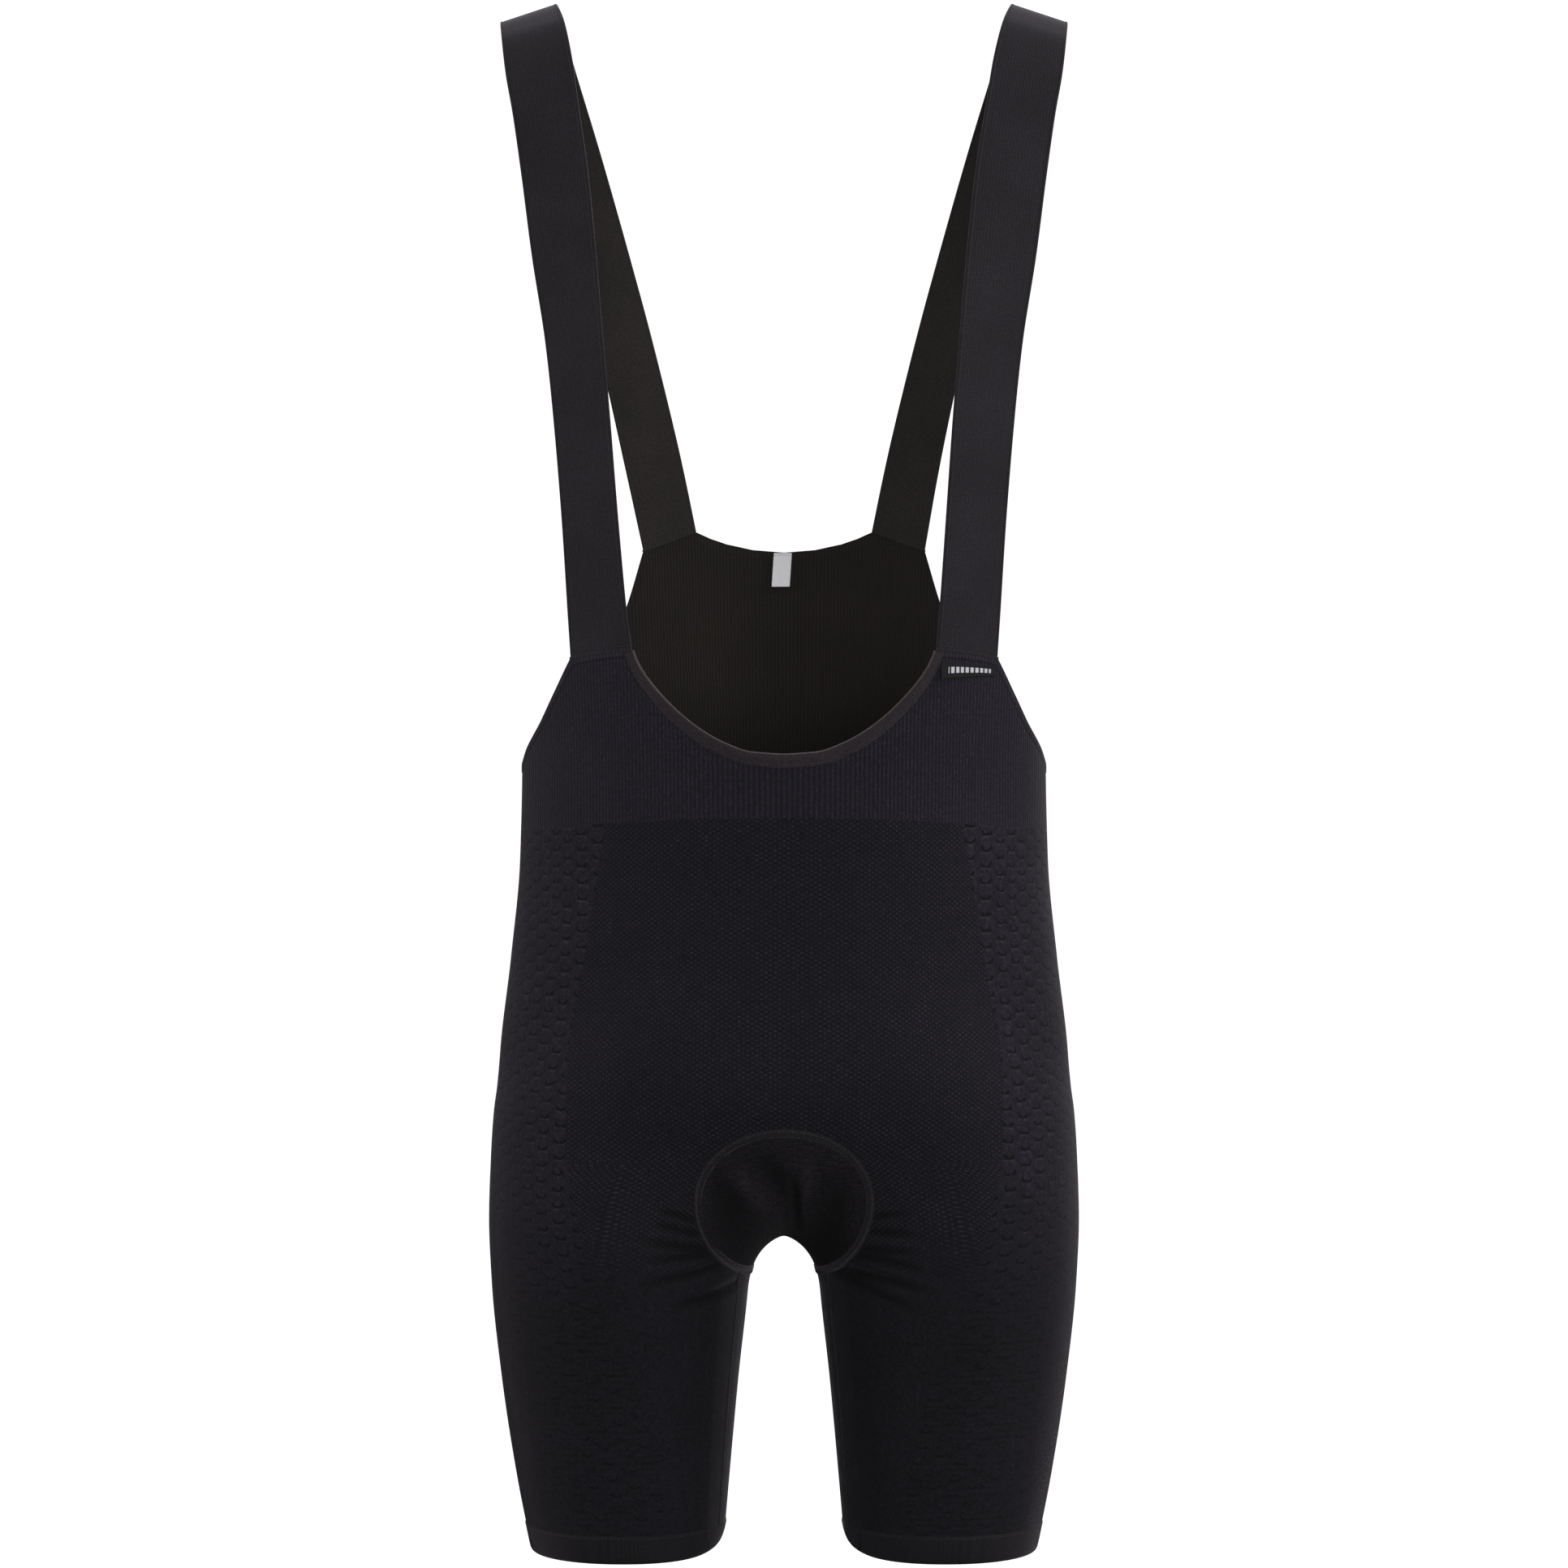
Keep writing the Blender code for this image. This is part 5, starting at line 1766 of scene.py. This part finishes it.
@dataclass
class Strap:
    """One elastic shoulder strap from the front bib over the shoulder to the back bib."""

    side: Side
    # Inner edge x, y, z, then outer edge x, y, z, from the front seam to the back seam
    edges: Table = (
        (0.0943, -0.0960, -0.3715, 0.1303, -0.0740, -0.3715),
        (0.0990, -0.1015, -0.3197, 0.1333, -0.0800, -0.3197),
        (0.1041, -0.1040, -0.2549, 0.1384, -0.0840, -0.2549),
        (0.1081, -0.1020, -0.2092, 0.1433, -0.0830, -0.2092),
        (0.1125, -0.0960, -0.1566, 0.1516, -0.0790, -0.1566),
        (0.1180, -0.0840, -0.1037, 0.1584, -0.0710, -0.1060),
        (0.1238, -0.0680, -0.0650, 0.1642, -0.0590, -0.0680),
        (0.1286, -0.0515, -0.0330, 0.1692, -0.0450, -0.0420),
        (0.1350, -0.0270, -0.0050, 0.1730, -0.0230, -0.0160),
        (0.1400, 0.0000, 0.0070, 0.1748, 0.0000, -0.0045),
        (0.1388, 0.0240, 0.0010, 0.1735, 0.0210, -0.0120),
        (0.1310, 0.0500, -0.0263, 0.1660, 0.0430, -0.0380),
        (0.1165, 0.0760, -0.0744, 0.1515, 0.0660, -0.0850),
        (0.0980, 0.0970, -0.1400, 0.1330, 0.0850, -0.1500),
        (0.0842, 0.1040, -0.1912, 0.1176, 0.0930, -0.2010),
        (0.0669, 0.1055, -0.2618, 0.1011, 0.0975, -0.2731),
    )
    # The strap at +X hangs flatter: its front's inner and its back's outer edge lie so much further in
    flatter: float = 0.0033
    stations: int = 300
    # From each edge to the middle: share of the width, height of the face in millimetres
    face: Table = (
        (0.000, -0.55), (0.006, -0.05), (0.016, 0.18), (0.030, 0.22), (0.044, 0.10), (0.056, -0.08),
        (0.075, 0.00), (0.15, 0.0), (0.25, 0.0), (0.36, 0.0), (0.5, 0.0),
    )
    end_fade: float = 0.012
    width: float = 0.036
    band: SeamBand = SeamBand(width=0.0024, height=0.0004, ridges=2)
    seam_places: int = 40
    cross_height: float = 0.00045
    run_height: float = 0.0002
    cross: Stitch = Stitch(0.0013, 0.0021, 0.00036, slant=88.0, finish=Finish.BRIGHT_THREAD)
    run: Stitch = Stitch(0.0021, 0.0015, 0.00032)

    def across(self) -> tuple[Array, Array]:
        """Places across the strap as shares of its width, and the height of its face there in metres."""
        share, height = np.array(self.face).T
        height = np.concatenate([height, height[-2::-1]]) * MILLIMETRE
        return np.concatenate([share, 1 - share[-2::-1]]), height

    def sheet(self) -> tuple[Array, Array]:
        """Works out the strap's face.

        Returns:
            Its points as rows across it, and their outward normals.
        """
        share, _ = self.across()
        ends = []
        for columns in (FRONT_STRAP_COLUMNS, BACK_STRAP_COLUMNS):
            across = columns[0] + (columns[1] - columns[0]) * share
            ends.append(FIGURE.neck_edge(across, -SEAM_GAP))
        front, back = ends
        rows = np.array([(*front[0], *front[-1]), *self.edges, (*back[0], *back[-1])])
        if self.side is Side.RIGHT:
            down = rows[:, 2] / np.where(rows[:, 1] < 0, rows[0, 2], rows[-1, 2])
            hanging = self.flatter * np.maximum(0, np.sin(np.pi * down)) ** 0.6
            rows[:, 0] -= np.where(rows[:, 1] < 0, hanging, 0)
            rows[:, 3] -= np.where(rows[:, 1] > 0, hanging, 0)
        table = SmoothTable([(number, *row) for number, row in enumerate(rows)])
        path = table.at(np.linspace(0, len(rows) - 1, 40 * len(rows)))
        along = travelled((path[:, :3] + path[:, 3:]) / 2)
        where = np.linspace(0, along[-1], self.stations)
        path = np.stack([np.interp(where, along, path[:, i]) for i in range(6)], -1)
        sheet = path[:, None, :3] * (1 - share[None, :, None]) + path[:, None, 3:] * share[None, :, None]
        for end, rest in ((front, where), (back, where[-1] - where)):
            straight = end[0] * (1 - share[:, None]) + end[-1] * share[:, None]
            fade = np.exp(-((rest / self.end_fade) ** 2))
            sheet = sheet + fade[:, None, None] * (end - straight)[None]
        normals = unit(np.cross(np.gradient(sheet, axis=0), np.gradient(sheet, share, axis=1)))
        return sheet, normals * -np.sign(normals[0, len(share) // 2, 1])

    def make(self) -> None:
        """Builds the strap and its seams to the body."""
        sheet, normals = self.sheet()
        mirror = self.side.mirror
        share, height = self.across()
        lift = height[None, :, None]
        top = sheet + normals * lift
        under = sheet - normals * (STRAP_WALL + lift * 0.5)
        sections = np.concatenate([top, under[:, ::-1]], axis=1) * mirror
        along = travelled(sheet[:, len(share) // 2])
        across = np.concatenate([share, share[::-1]]) * self.width
        weave = np.stack(np.broadcast_arrays(across[None, :], along[:, None]), -1)
        strips = np.zeros(len(across), dtype=int)
        strips[len(share):-1] = 1
        strap = sweep(sections, weave, finishes=strips)
        name = self.side.name.lower()
        piece = strap.to_object(f"shoulder_strap_{name}", (Finish.STRAP, Finish.STRAP_INSIDE))
        place(piece, Slot.STRAP, [f"strap_{name}"])
        self.seams(sheet, normals, name)

    def seams(self, sheet: Array, normals: Array, name: str) -> None:
        """The cover seams where the strap meets the body, with their stitches.

        Args:
            sheet: the strap's face.
            normals: its normals.
            name: the side's name.
        """
        mirror = self.side.mirror
        crossing = []
        running = []
        bands = []
        for columns, row in ((FRONT_STRAP_COLUMNS, 1), (BACK_STRAP_COLUMNS, -2)):
            path = smoothed(FIGURE.neck_edge(np.linspace(*columns, self.seam_places)), 2)
            bands.append(self.band.lay(path, False))
            points, facing, closed = laid_row(path, 0.0, self.cross_height, False)
            crossing.append((points * mirror, facing * mirror, closed))
            facing = normals[row, 2:-2]
            running.append(((sheet[row, 2:-2] + facing * self.run_height) * mirror, facing * mirror, False))
        seam = bands[0].joined(bands[1])
        if self.side is Side.LEFT:
            seam = seam.mirrored()
        place(seam.to_object(f"strap_seams_{name}", (Finish.SEAM,)), Slot.STRAP)
        place(STITCHING.sew(f"strap_cross_stitches_{name}", crossing, self.cross), Slot.STRAP)
        place(STITCHING.sew(f"strap_run_stitches_{name}", running, self.run), Slot.STRAP)


# ---------------- trims


@dataclass
class NeckBinding:
    """The folded binding over the front neckline, with its row of stitches."""

    end_column: float = 7.9
    places: int = 130
    spacing: float = 0.0016
    # It narrows towards the straps to this share of its depth
    end_share: float = 0.62
    narrowing: float = 1.6
    # The strips of the section that lie on the outer edge, which carry a painted highlight
    bright_strips: Sequence[int] = (10, 11)
    # Round the section: depth from the panel's edge, height over the panel's face, in millimetres
    section: Table = (
        (7.00, 0.60), (6.75, 1.05), (6.30, 1.25), (5.60, 1.20), (5.20, 1.08), (4.80, 1.20), (4.00, 1.34),
        (2.60, 1.42), (1.20, 1.44), (0.10, 1.36), (-0.80, 1.00), (-1.35, 0.30), (-1.50, -0.60),
        (-1.35, -1.50), (-0.80, -2.20), (0.10, -2.56), (1.20, -2.64), (2.60, -2.62), (4.00, -2.60),
        (6.30, -2.50), (7.00, -1.90), (6.90, -1.52), (4.00, -1.52), (1.20, -1.52), (0.00, -1.50),
        (-0.30, -0.60), (0.00, 0.30), (1.20, 0.32), (4.00, 0.32), (6.90, 0.32),
    )
    row_depth: float = 0.0052
    row_height: float = 0.00125
    stitch: Stitch = Stitch(0.0024, 0.0017, 0.00028)

    def make(self) -> None:
        """Builds the binding and its stitches."""
        right = FIGURE.neck_edge(np.linspace(0, self.end_column, self.places))
        edge = np.concatenate([right[:0:-1] * Side.LEFT.mirror, right])
        edge = smoothed(spaced(edge, self.spacing), 3)
        normals = FIGURE.outward(edge)
        inward = np.cross(tangents_of(edge), normals)
        inward *= -np.sign(inward[:, 2:3])
        along = travelled(edge)
        from_middle = np.abs(2 * along / along[-1] - 1)[:, None]
        narrowed = 1 - (1 - self.end_share) * from_middle**self.narrowing
        lines = []
        for deep, height in self.section:
            deep *= MILLIMETRE
            base = FIGURE.settle(edge + inward * narrowed * max(deep, 0.0), 2)
            lines.append(base + inward * min(deep, 0.0) + FIGURE.outward(base) * height * MILLIMETRE)
        sections = np.stack(lines, 1)
        along = np.broadcast_to(along[:, None], sections.shape[:2])
        around = np.array([row[0] for row in self.section]) * MILLIMETRE
        weave = np.stack([along, np.broadcast_to(around, sections.shape[:2])], -1)
        # The outer-edge strips take the painted highlight
        strips = np.isin(np.arange(len(self.section)), self.bright_strips).astype(int)
        binding = sweep(sections, weave, finishes=strips)
        binding = binding.to_object("neckline_binding", (Finish.BINDING, Finish.BINDING_EDGE))
        place(binding, Slot.BINDING, ["neck_binding"])
        base = FIGURE.settle(edge + inward * narrowed * self.row_depth, 2)
        facing = FIGURE.outward(base)
        rows = [(base + facing * self.row_height, facing, False)]
        place(STITCHING.sew("neckline_stitches", rows, self.stitch), Slot.BINDING)


@dataclass
class LegHem:
    """The turned welt round a leg opening."""

    side: Side
    columns: int = 190
    # Its lower edge is drawn up and in where the inner leg's seam ends in it
    rise: float = 0.0060
    rise_column: float = 31.9
    rise_spread: float = 4.0
    roll: float = 0.0020
    # Round the section: share of the welt's height from its top, height over the figure in millimetres
    section: Table = (
        (0.000, -0.30), (0.008, 0.10), (0.030, 0.34), (0.080, 0.46), (0.200, 0.52), (0.500, 0.52),
        (0.780, 0.48), (0.900, 0.36), (0.965, 0.02), (0.992, -0.45), (1.000, -1.05), (0.992, -1.65),
        (0.965, -2.10), (0.900, -2.38), (0.780, -2.45), (0.500, -2.45), (0.200, -2.45), (0.060, -2.40),
        (0.012, -2.10), (0.000, -1.40),
    )
    # The stitches: below the welt's top, off the figure, and the spacing of their path
    row_drop: float = 0.0013
    row_height: float = 0.00045
    row_spacing: float = 0.002
    stitch: Stitch = Stitch(0.0026, 0.0018, 0.00034)

    def make(self) -> None:
        """Builds the welt and its stitches."""
        columns = np.linspace(0, RING_COLUMNS, self.columns, endpoint=False)
        mirror = self.side.mirror
        top = HEM_TOP_Z - SEAM_GAP / 2
        half_ring = RING_COLUMNS / 2
        away = np.mod(columns - self.rise_column + half_ring, RING_COLUMNS) - half_ring
        drawn = np.exp(-((away / self.rise_spread) ** 2))
        lines = []
        for share, height in self.section:
            bottom = HEM_BOTTOM_Z + self.rise * drawn
            ring = FIGURE.leg_rows(columns, np.array([1.0]), top + (bottom - top) * share)[0]
            level = FIGURE.outward(ring) * [1.0, 1.0, 0.0]
            off = height * MILLIMETRE - self.roll * drawn * share**2
            lines.append(ring + level * off[:, None])
        sections = np.stack(lines, 1)
        across = np.broadcast_to(GRID.across(columns)[:, None], sections.shape[:2])
        weave = np.stack([across, sections[..., 2]], -1)
        name = self.side.name.lower()
        welt = sweep(sections * mirror, weave, closed_path=True)
        place(welt.to_object(f"hem_welt_{name}", (Finish.HEM,)), Slot.KNIT, [f"leg_hem_{name}"])
        ring = FIGURE.leg_rows(columns, np.array([1.0]), top - self.row_drop)[0]
        path = spaced(ring + FIGURE.outward(ring) * self.row_height, self.row_spacing, True)
        rows = [(path * mirror, FIGURE.outward(path) * mirror, True)]
        place(STITCHING.sew(f"hem_stitches_{name}", rows, self.stitch), Slot.KNIT)


@dataclass
class Inseams:
    """The cover seams down both inner legs, from the pad to the hems."""

    band: SeamBand = SeamBand(width=0.0050, height=0.0006)
    first_share: float = 0.10
    places: int = 160
    from_pad: float = 0.001
    spacing: float = 0.0018
    # The two rows of stitches: distance from the seam's middle, height over the figure
    rows: Table = ((-0.0012, 0.00062), (0.0012, 0.00062))
    stitch: Stitch = Stitch(0.0023, 0.0016, 0.0003, slant=20.0)

    def make(self) -> None:
        """Builds the two seam bands and their stitches."""
        shares = np.linspace(self.first_share, 1, self.places)
        path = FIGURE.leg_rows(np.full(1, INSEAM_COLUMN), shares, HEM_TOP_Z)[:, 0]
        path = spaced(path[PAD_OUTLINE.distance(path) > self.from_pad], self.spacing)
        right = self.band.lay(path, False)
        bands = right.joined(right.mirrored())
        place(bands.to_object("inseam_bands", (Finish.SEAM,)), Slot.KNIT)
        rows = []
        for offset, height in self.rows:
            points, facing, closed = laid_row(path, offset, height, False)
            rows.extend((points * side.mirror, facing * side.mirror, closed) for side in Side)
        place(STITCHING.sew("inseam_stitches", rows, self.stitch), Slot.KNIT)


@dataclass
class CareLabel:
    """The small bare label inside the back neckline, sewn along its top edge."""

    lean: float = 0.0014
    stand_off: float = 0.0012
    # The curl of its free end: share of the stand-off, waves per metre in radians, and where they start
    curl: tuple[float, float, float] = (0.25, 260.0, 0.6)
    wall: float = TRIM_WALL * 0.4
    reach: float = 0.2
    rows: int = 16
    columns: int = 12
    thread_height: float = 0.0001
    stitch: Stitch = Stitch(0.0017, 0.0012, 0.00026)

    def make(self) -> None:
        """Builds the label and its stitches."""
        low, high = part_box("care_label")
        share = np.linspace(0, 1, self.rows)[:, None]
        x = low.x + (high.x - low.x) * np.linspace(0, 1, self.columns)[None, :] - self.lean * share
        z = high.z + (low.z - high.z) * share + 0 * x
        start = np.stack([x, 0 * x + FIGURE.torso_middle_y, z], -1)
        cloth = FIGURE.cast(start, np.broadcast_to([0.0, self.reach, 0.0], start.shape))
        normals = FIGURE.outward(cloth)
        swing, waves, phase = self.curl
        curl = self.stand_off * share**1.5 * (1 + swing * np.sin(waves * x + phase))
        face = cloth - normals * (PANEL_WALL + 2 * SEAM_GAP + self.wall + curl)[..., None]
        label = Surface.grid(face, np.stack([x, z], -1))
        label = label.walled(-normals.reshape(-1, 3), self.wall, inner_finish=0).facing_out()
        piece = label.to_object("care_label_tape", (Finish.LABEL,))
        place(piece, Slot.LABEL, ["care_label"])
        facing = -normals[1, 1:-1]
        row = (face[1, 1:-1] + facing * self.thread_height, facing, False)
        place(STITCHING.sew("label_stitches", [row], self.stitch), Slot.LABEL)


@dataclass
class WovenTab:
    """The small black tab below the strap at +X, with a generic row of pale dashes."""

    # Columns across it and its stand-off there, in millimetres
    across: Table = ((8.15, 1.7), (8.5, 1.7), (8.85, 1.6), (9.2, 0.7), (9.6, 0.45), (10.2, 0.4), (10.9, 0.4))
    thickness: float = 0.6
    # Its upper and lower edge below the edge of the body, at the inner and at the outer end
    drops: Table = ((0.0074, 0.0170), (0.0056, 0.0104))
    height: float = 0.0100
    wall: float = 0.0005
    samples: int = 72
    rows: int = 24
    # The row of dashes: its middle down and across the tab, half its height and length, and each dash's share
    dash_middle: tuple[float, float] = (0.45, 0.5)
    dash_reach: tuple[float, float] = (0.23, 0.38)
    dash_share: float = 0.62
    dash_count: int = 9

    def dashes(self) -> Array:
        """Where the pale dashes lie.

        Returns:
            For each point of the tab, row after row, whether it is on a dash.
        """
        down = np.linspace(0, 1, self.rows)[:, None]
        along = np.linspace(0, 1, self.samples)[None, :]
        (middle, half_way), (height, length) = self.dash_middle, self.dash_reach
        inside = (np.abs(down - middle) < height) & (np.abs(along - half_way) < length)
        return inside & (np.mod(along * self.dash_count / (2 * length), 1.0) < self.dash_share)

    def make(self) -> None:
        """Builds the tab."""
        columns = np.linspace(self.across[0][0], self.across[-1][0], self.samples)
        stand_off = read(self.across, columns)
        share = np.linspace(0, 1, self.rows)
        face = []
        (top_in, bottom_in), (top_out, bottom_out) = self.drops
        top = np.linspace(top_in, top_out, self.samples)
        bottom = np.linspace(bottom_in, bottom_out, self.samples)
        for down in share:
            base = FIGURE.neck_edge(columns, top + (bottom - top) * down)
            face.append(base + FIGURE.outward(base) * (stand_off[:, None] + self.thickness) * MILLIMETRE)
        face = np.array(face)
        along = travelled(face[0])
        weave = np.stack(np.broadcast_arrays(along[None, :], self.height * share[:, None]), -1)
        tab = Surface.grid(face, weave)
        normals = FIGURE.outward(face.reshape(-1, 3))
        wall = tab.walled(normals, self.wall, inner_finish=0).facing_out()
        zones = {"dashes": np.tile(self.dashes().ravel().astype(float), 2)}
        piece = wall.to_object("woven_tab_tape", (Finish.TAB,), zones)
        place(piece, Slot.TAB, ["woven_tab"])


# ---------------- studio


@dataclass(frozen=True)
class AreaLight:
    """One soft box."""

    name: str
    place: tuple[float, float, float]
    aim: tuple[float, float, float]
    size: tuple[float, float]
    power: float
    colour: Colour = (1.0, 1.0, 1.0)

    def make(self) -> None:
        """Adds the light to the scene."""
        light = bpy.data.lights.new(self.name, "AREA")
        light.shape = "RECTANGLE"
        light.size, light.size_y = self.size
        light.energy = self.power
        light.color = self.colour
        lamp = added(self.name, light)
        lamp.visible_camera = False
        lamp.location = self.place
        lamp.rotation_euler = (Vector(self.aim) - Vector(self.place)).to_track_quat("-Z", "Y").to_euler()


@dataclass(frozen=True)
class Studio:
    """A plain pale floor that rises into a backdrop, soft boxes and the camera."""

    middle_z: float = -0.4735
    camera_distance: float = 3.0
    frame_size: float = 0.966
    sensor: float = 36.0
    floor_z: float = -1.60
    near_y: float = -9.0
    wall_y: float = 7.0
    bend: float = 2.5
    half_width: float = 10.0
    wall_top: float = 7.0
    lights: Sequence[AreaLight] = (
        AreaLight("key_front", (0.9, -3.4, -0.3), (0.0, 0.0, -0.45), (2.6, 1.8), 72.0),
        AreaLight("overhead_front", (0.0, -2.2, 3.0), (0.0, 0.0, -0.5), (3.6, 2.4), 10.0),
        AreaLight("side_left", (-2.4, -0.1, 0.3), (0.0, 0.0, -0.5), (1.2, 2.0), 28.0, (1.0, 0.94, 0.98)),
        AreaLight("side_right", (2.4, -0.1, 0.7), (0.0, 0.0, -0.5), (1.2, 2.0), 37.0, (1.0, 0.94, 0.98)),
        AreaLight("overhead_back", (0.0, 2.6, 2.6), (0.0, 0.0, -0.4), (3.0, 2.0), 40.0),
        AreaLight("key_back", (0.0, 3.4, -0.3), (0.0, 0.0, -0.45), (2.0, 1.8), 50.0),
    )

    def sweep_wall(self) -> None:
        """The floor and backdrop as one curved sheet."""
        turns = np.linspace(0, math.pi / 2, 24)
        bend_y = self.wall_y - self.bend + self.bend * np.sin(turns)
        bend_z = self.floor_z + self.bend - self.bend * np.cos(turns)
        profile = np.array([(self.near_y, self.floor_z), *zip(bend_y, bend_z), (self.wall_y, self.wall_top)])
        x = np.linspace(-self.half_width, self.half_width, 5)
        points = np.array([[(across, y, z) for across in x] for y, z in profile])
        board = Board("studio_paper")
        board.paint(board.blend(board.cloud(3.0, 1.0), (0.90, 0.90, 0.90), (0.93, 0.93, 0.93)))
        board.shader.inputs["Roughness"].default_value = 0.9
        board.shader.inputs["Emission Color"].default_value = (1.0, 1.0, 1.0, 1.0)
        board.shader.inputs["Emission Strength"].default_value = 1.0
        mesh = bpy.data.meshes.new("studio_sweep")
        surface = Surface.grid(points, points[..., :2])
        mesh.from_pydata(surface.points.tolist(), [], surface.faces[:, ::-1].tolist())
        mesh.materials.append(board.material)
        mesh.shade_smooth()
        paper = added("studio_sweep", mesh)
        paper.visible_diffuse = False
        paper.visible_glossy = False

    def make(self) -> None:
        """Builds the studio and places the camera."""
        self.sweep_wall()
        for light in self.lights:
            light.make()
        scene = bpy.context.scene
        world = bpy.data.worlds.new("soft_daylight")
        world.use_nodes = True
        world.node_tree.nodes["Background"].inputs["Color"].default_value = (1.0, 1.0, 1.0, 1.0)
        world.cycles_visibility.diffuse = False
        world.cycles_visibility.glossy = False
        scene.world = world
        scene.view_settings.view_transform = "Standard"
        camera = bpy.data.cameras.new("camera")
        camera.sensor_width = self.sensor
        camera.lens = self.sensor * self.camera_distance / self.frame_size
        viewer = added("camera", camera)
        viewer.location = (0.0, -self.camera_distance, self.middle_z)
        viewer.rotation_euler = (math.pi / 2, 0.0, 0.0)
        scene.camera = viewer


# ---------------- the garment


def creases(face: Face, table: Table, onset: tuple[float, float] = (0.04, 0.04)) -> tuple[Crease, ...]:
    """Creases of one face from rows of start x and z, end x and z, half width, depth and bow."""
    return tuple(Crease(row[:2], row[2:4], *row[4:6], face, row[6], onset) for row in table)


THIGH_CREASES = creases(Face.FRONT, (
    (-0.0500, -0.7370, -0.0760, -0.7280, 0.0020, 0.0009, 0.0),
    (-0.0483, -0.7451, -0.0790, -0.7368, 0.0022, 0.0013, 0.0),
    (-0.0449, -0.7533, -0.0850, -0.7470, 0.0025, 0.0018, 0.0010),
    (-0.0366, -0.7577, -0.0810, -0.7606, 0.0025, 0.0020, -0.0012),
    (-0.0332, -0.7611, -0.0860, -0.7745, 0.0027, 0.0020, 0.0014),
    (-0.0264, -0.7761, -0.0700, -0.7900, 0.0028, 0.0017, 0.0),
    (0.0510, -0.7340, 0.0740, -0.7300, 0.0020, 0.0008, 0.0),
    (0.0502, -0.7425, 0.0780, -0.7432, 0.0022, 0.0012, 0.0),
    (0.0468, -0.7524, 0.0790, -0.7540, 0.0024, 0.0016, -0.0008),
    (0.0420, -0.7577, 0.0830, -0.7650, 0.0025, 0.0019, 0.0010),
    (0.0332, -0.7650, 0.0870, -0.7780, 0.0028, 0.0022, 0.0),
    (0.0332, -0.7684, 0.0790, -0.7900, 0.0028, 0.0018, 0.0),
), onset=(0.36, 0.03))
SEAT_CREASES = creases(Face.BACK, (
    (-0.0560, -0.7420, -0.0980, -0.7350, 0.0042, 0.0016, 0.0),
    (-0.0520, -0.7560, -0.1090, -0.7560, 0.0046, 0.0020, -0.0020),
    (-0.0440, -0.7680, -0.0900, -0.7790, 0.0042, 0.0017, 0.0),
    (-0.0380, -0.7800, -0.0700, -0.7990, 0.0038, 0.0012, 0.0),
    (0.0580, -0.7390, 0.0900, -0.7330, 0.0040, 0.0014, 0.0),
    (0.0530, -0.7520, 0.1130, -0.7540, 0.0048, 0.0020, -0.0016),
    (0.0460, -0.7640, 0.0860, -0.7720, 0.0042, 0.0018, 0.0),
    (0.0390, -0.7770, 0.0760, -0.7940, 0.0040, 0.0013, 0.0),
))
PAD_FOLDS = creases(Face.FRONT, (
    (-0.0335, -0.7040, 0.0012, -0.7440, 0.0070, -0.0034, 0.0),
    (-0.0410, -0.7120, -0.0265, -0.7600, 0.0075, 0.0036, 0.0),
    (-0.0130, -0.6960, 0.0020, -0.7200, 0.0060, 0.0016, 0.0),
    (0.0054, -0.7090, 0.0086, -0.7480, 0.0024, 0.0024, 0.0),
    (0.0140, -0.7000, 0.0120, -0.7300, 0.0050, -0.0014, 0.0),
    (0.0330, -0.7140, 0.0240, -0.7560, 0.0070, 0.0012, 0.0),
)) + creases(Face.BACK, (
    (-0.0200, -0.6700, -0.0080, -0.7200, 0.0080, 0.0010, 0.0),
    (0.0220, -0.6750, 0.0110, -0.7250, 0.0080, 0.0012, 0.0),
))


def main() -> None:
    """Builds the garment and the studio."""
    logging.basicConfig(level=logging.INFO, format="%(name)s: %(message)s")
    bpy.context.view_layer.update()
    Studio().make()
    front_start = INSEAM_COLUMN - RING_COLUMNS
    KnitPanel(
        "knit_front", "body_front", front_start, SIDE_COLUMN,
        torso_rows=112, leg_rows=140, cut=(0.52, 0.50), creases=THIGH_CREASES,
    ).make()
    KnitPanel(
        "knit_back", "body_back", SIDE_COLUMN, INSEAM_COLUMN,
        torso_rows=98, leg_rows=88, cut=(0.62, 0.62), creases=SEAT_CREASES,
    ).make()
    CrotchPad(folds=PAD_FOLDS).make()
    for side in Side:
        Strap(side).make()
        LegHem(side).make()
    NeckBinding().make()
    Inseams().make()
    CareLabel().make()
    WovenTab().make()


if __name__ == "__main__":
    main()
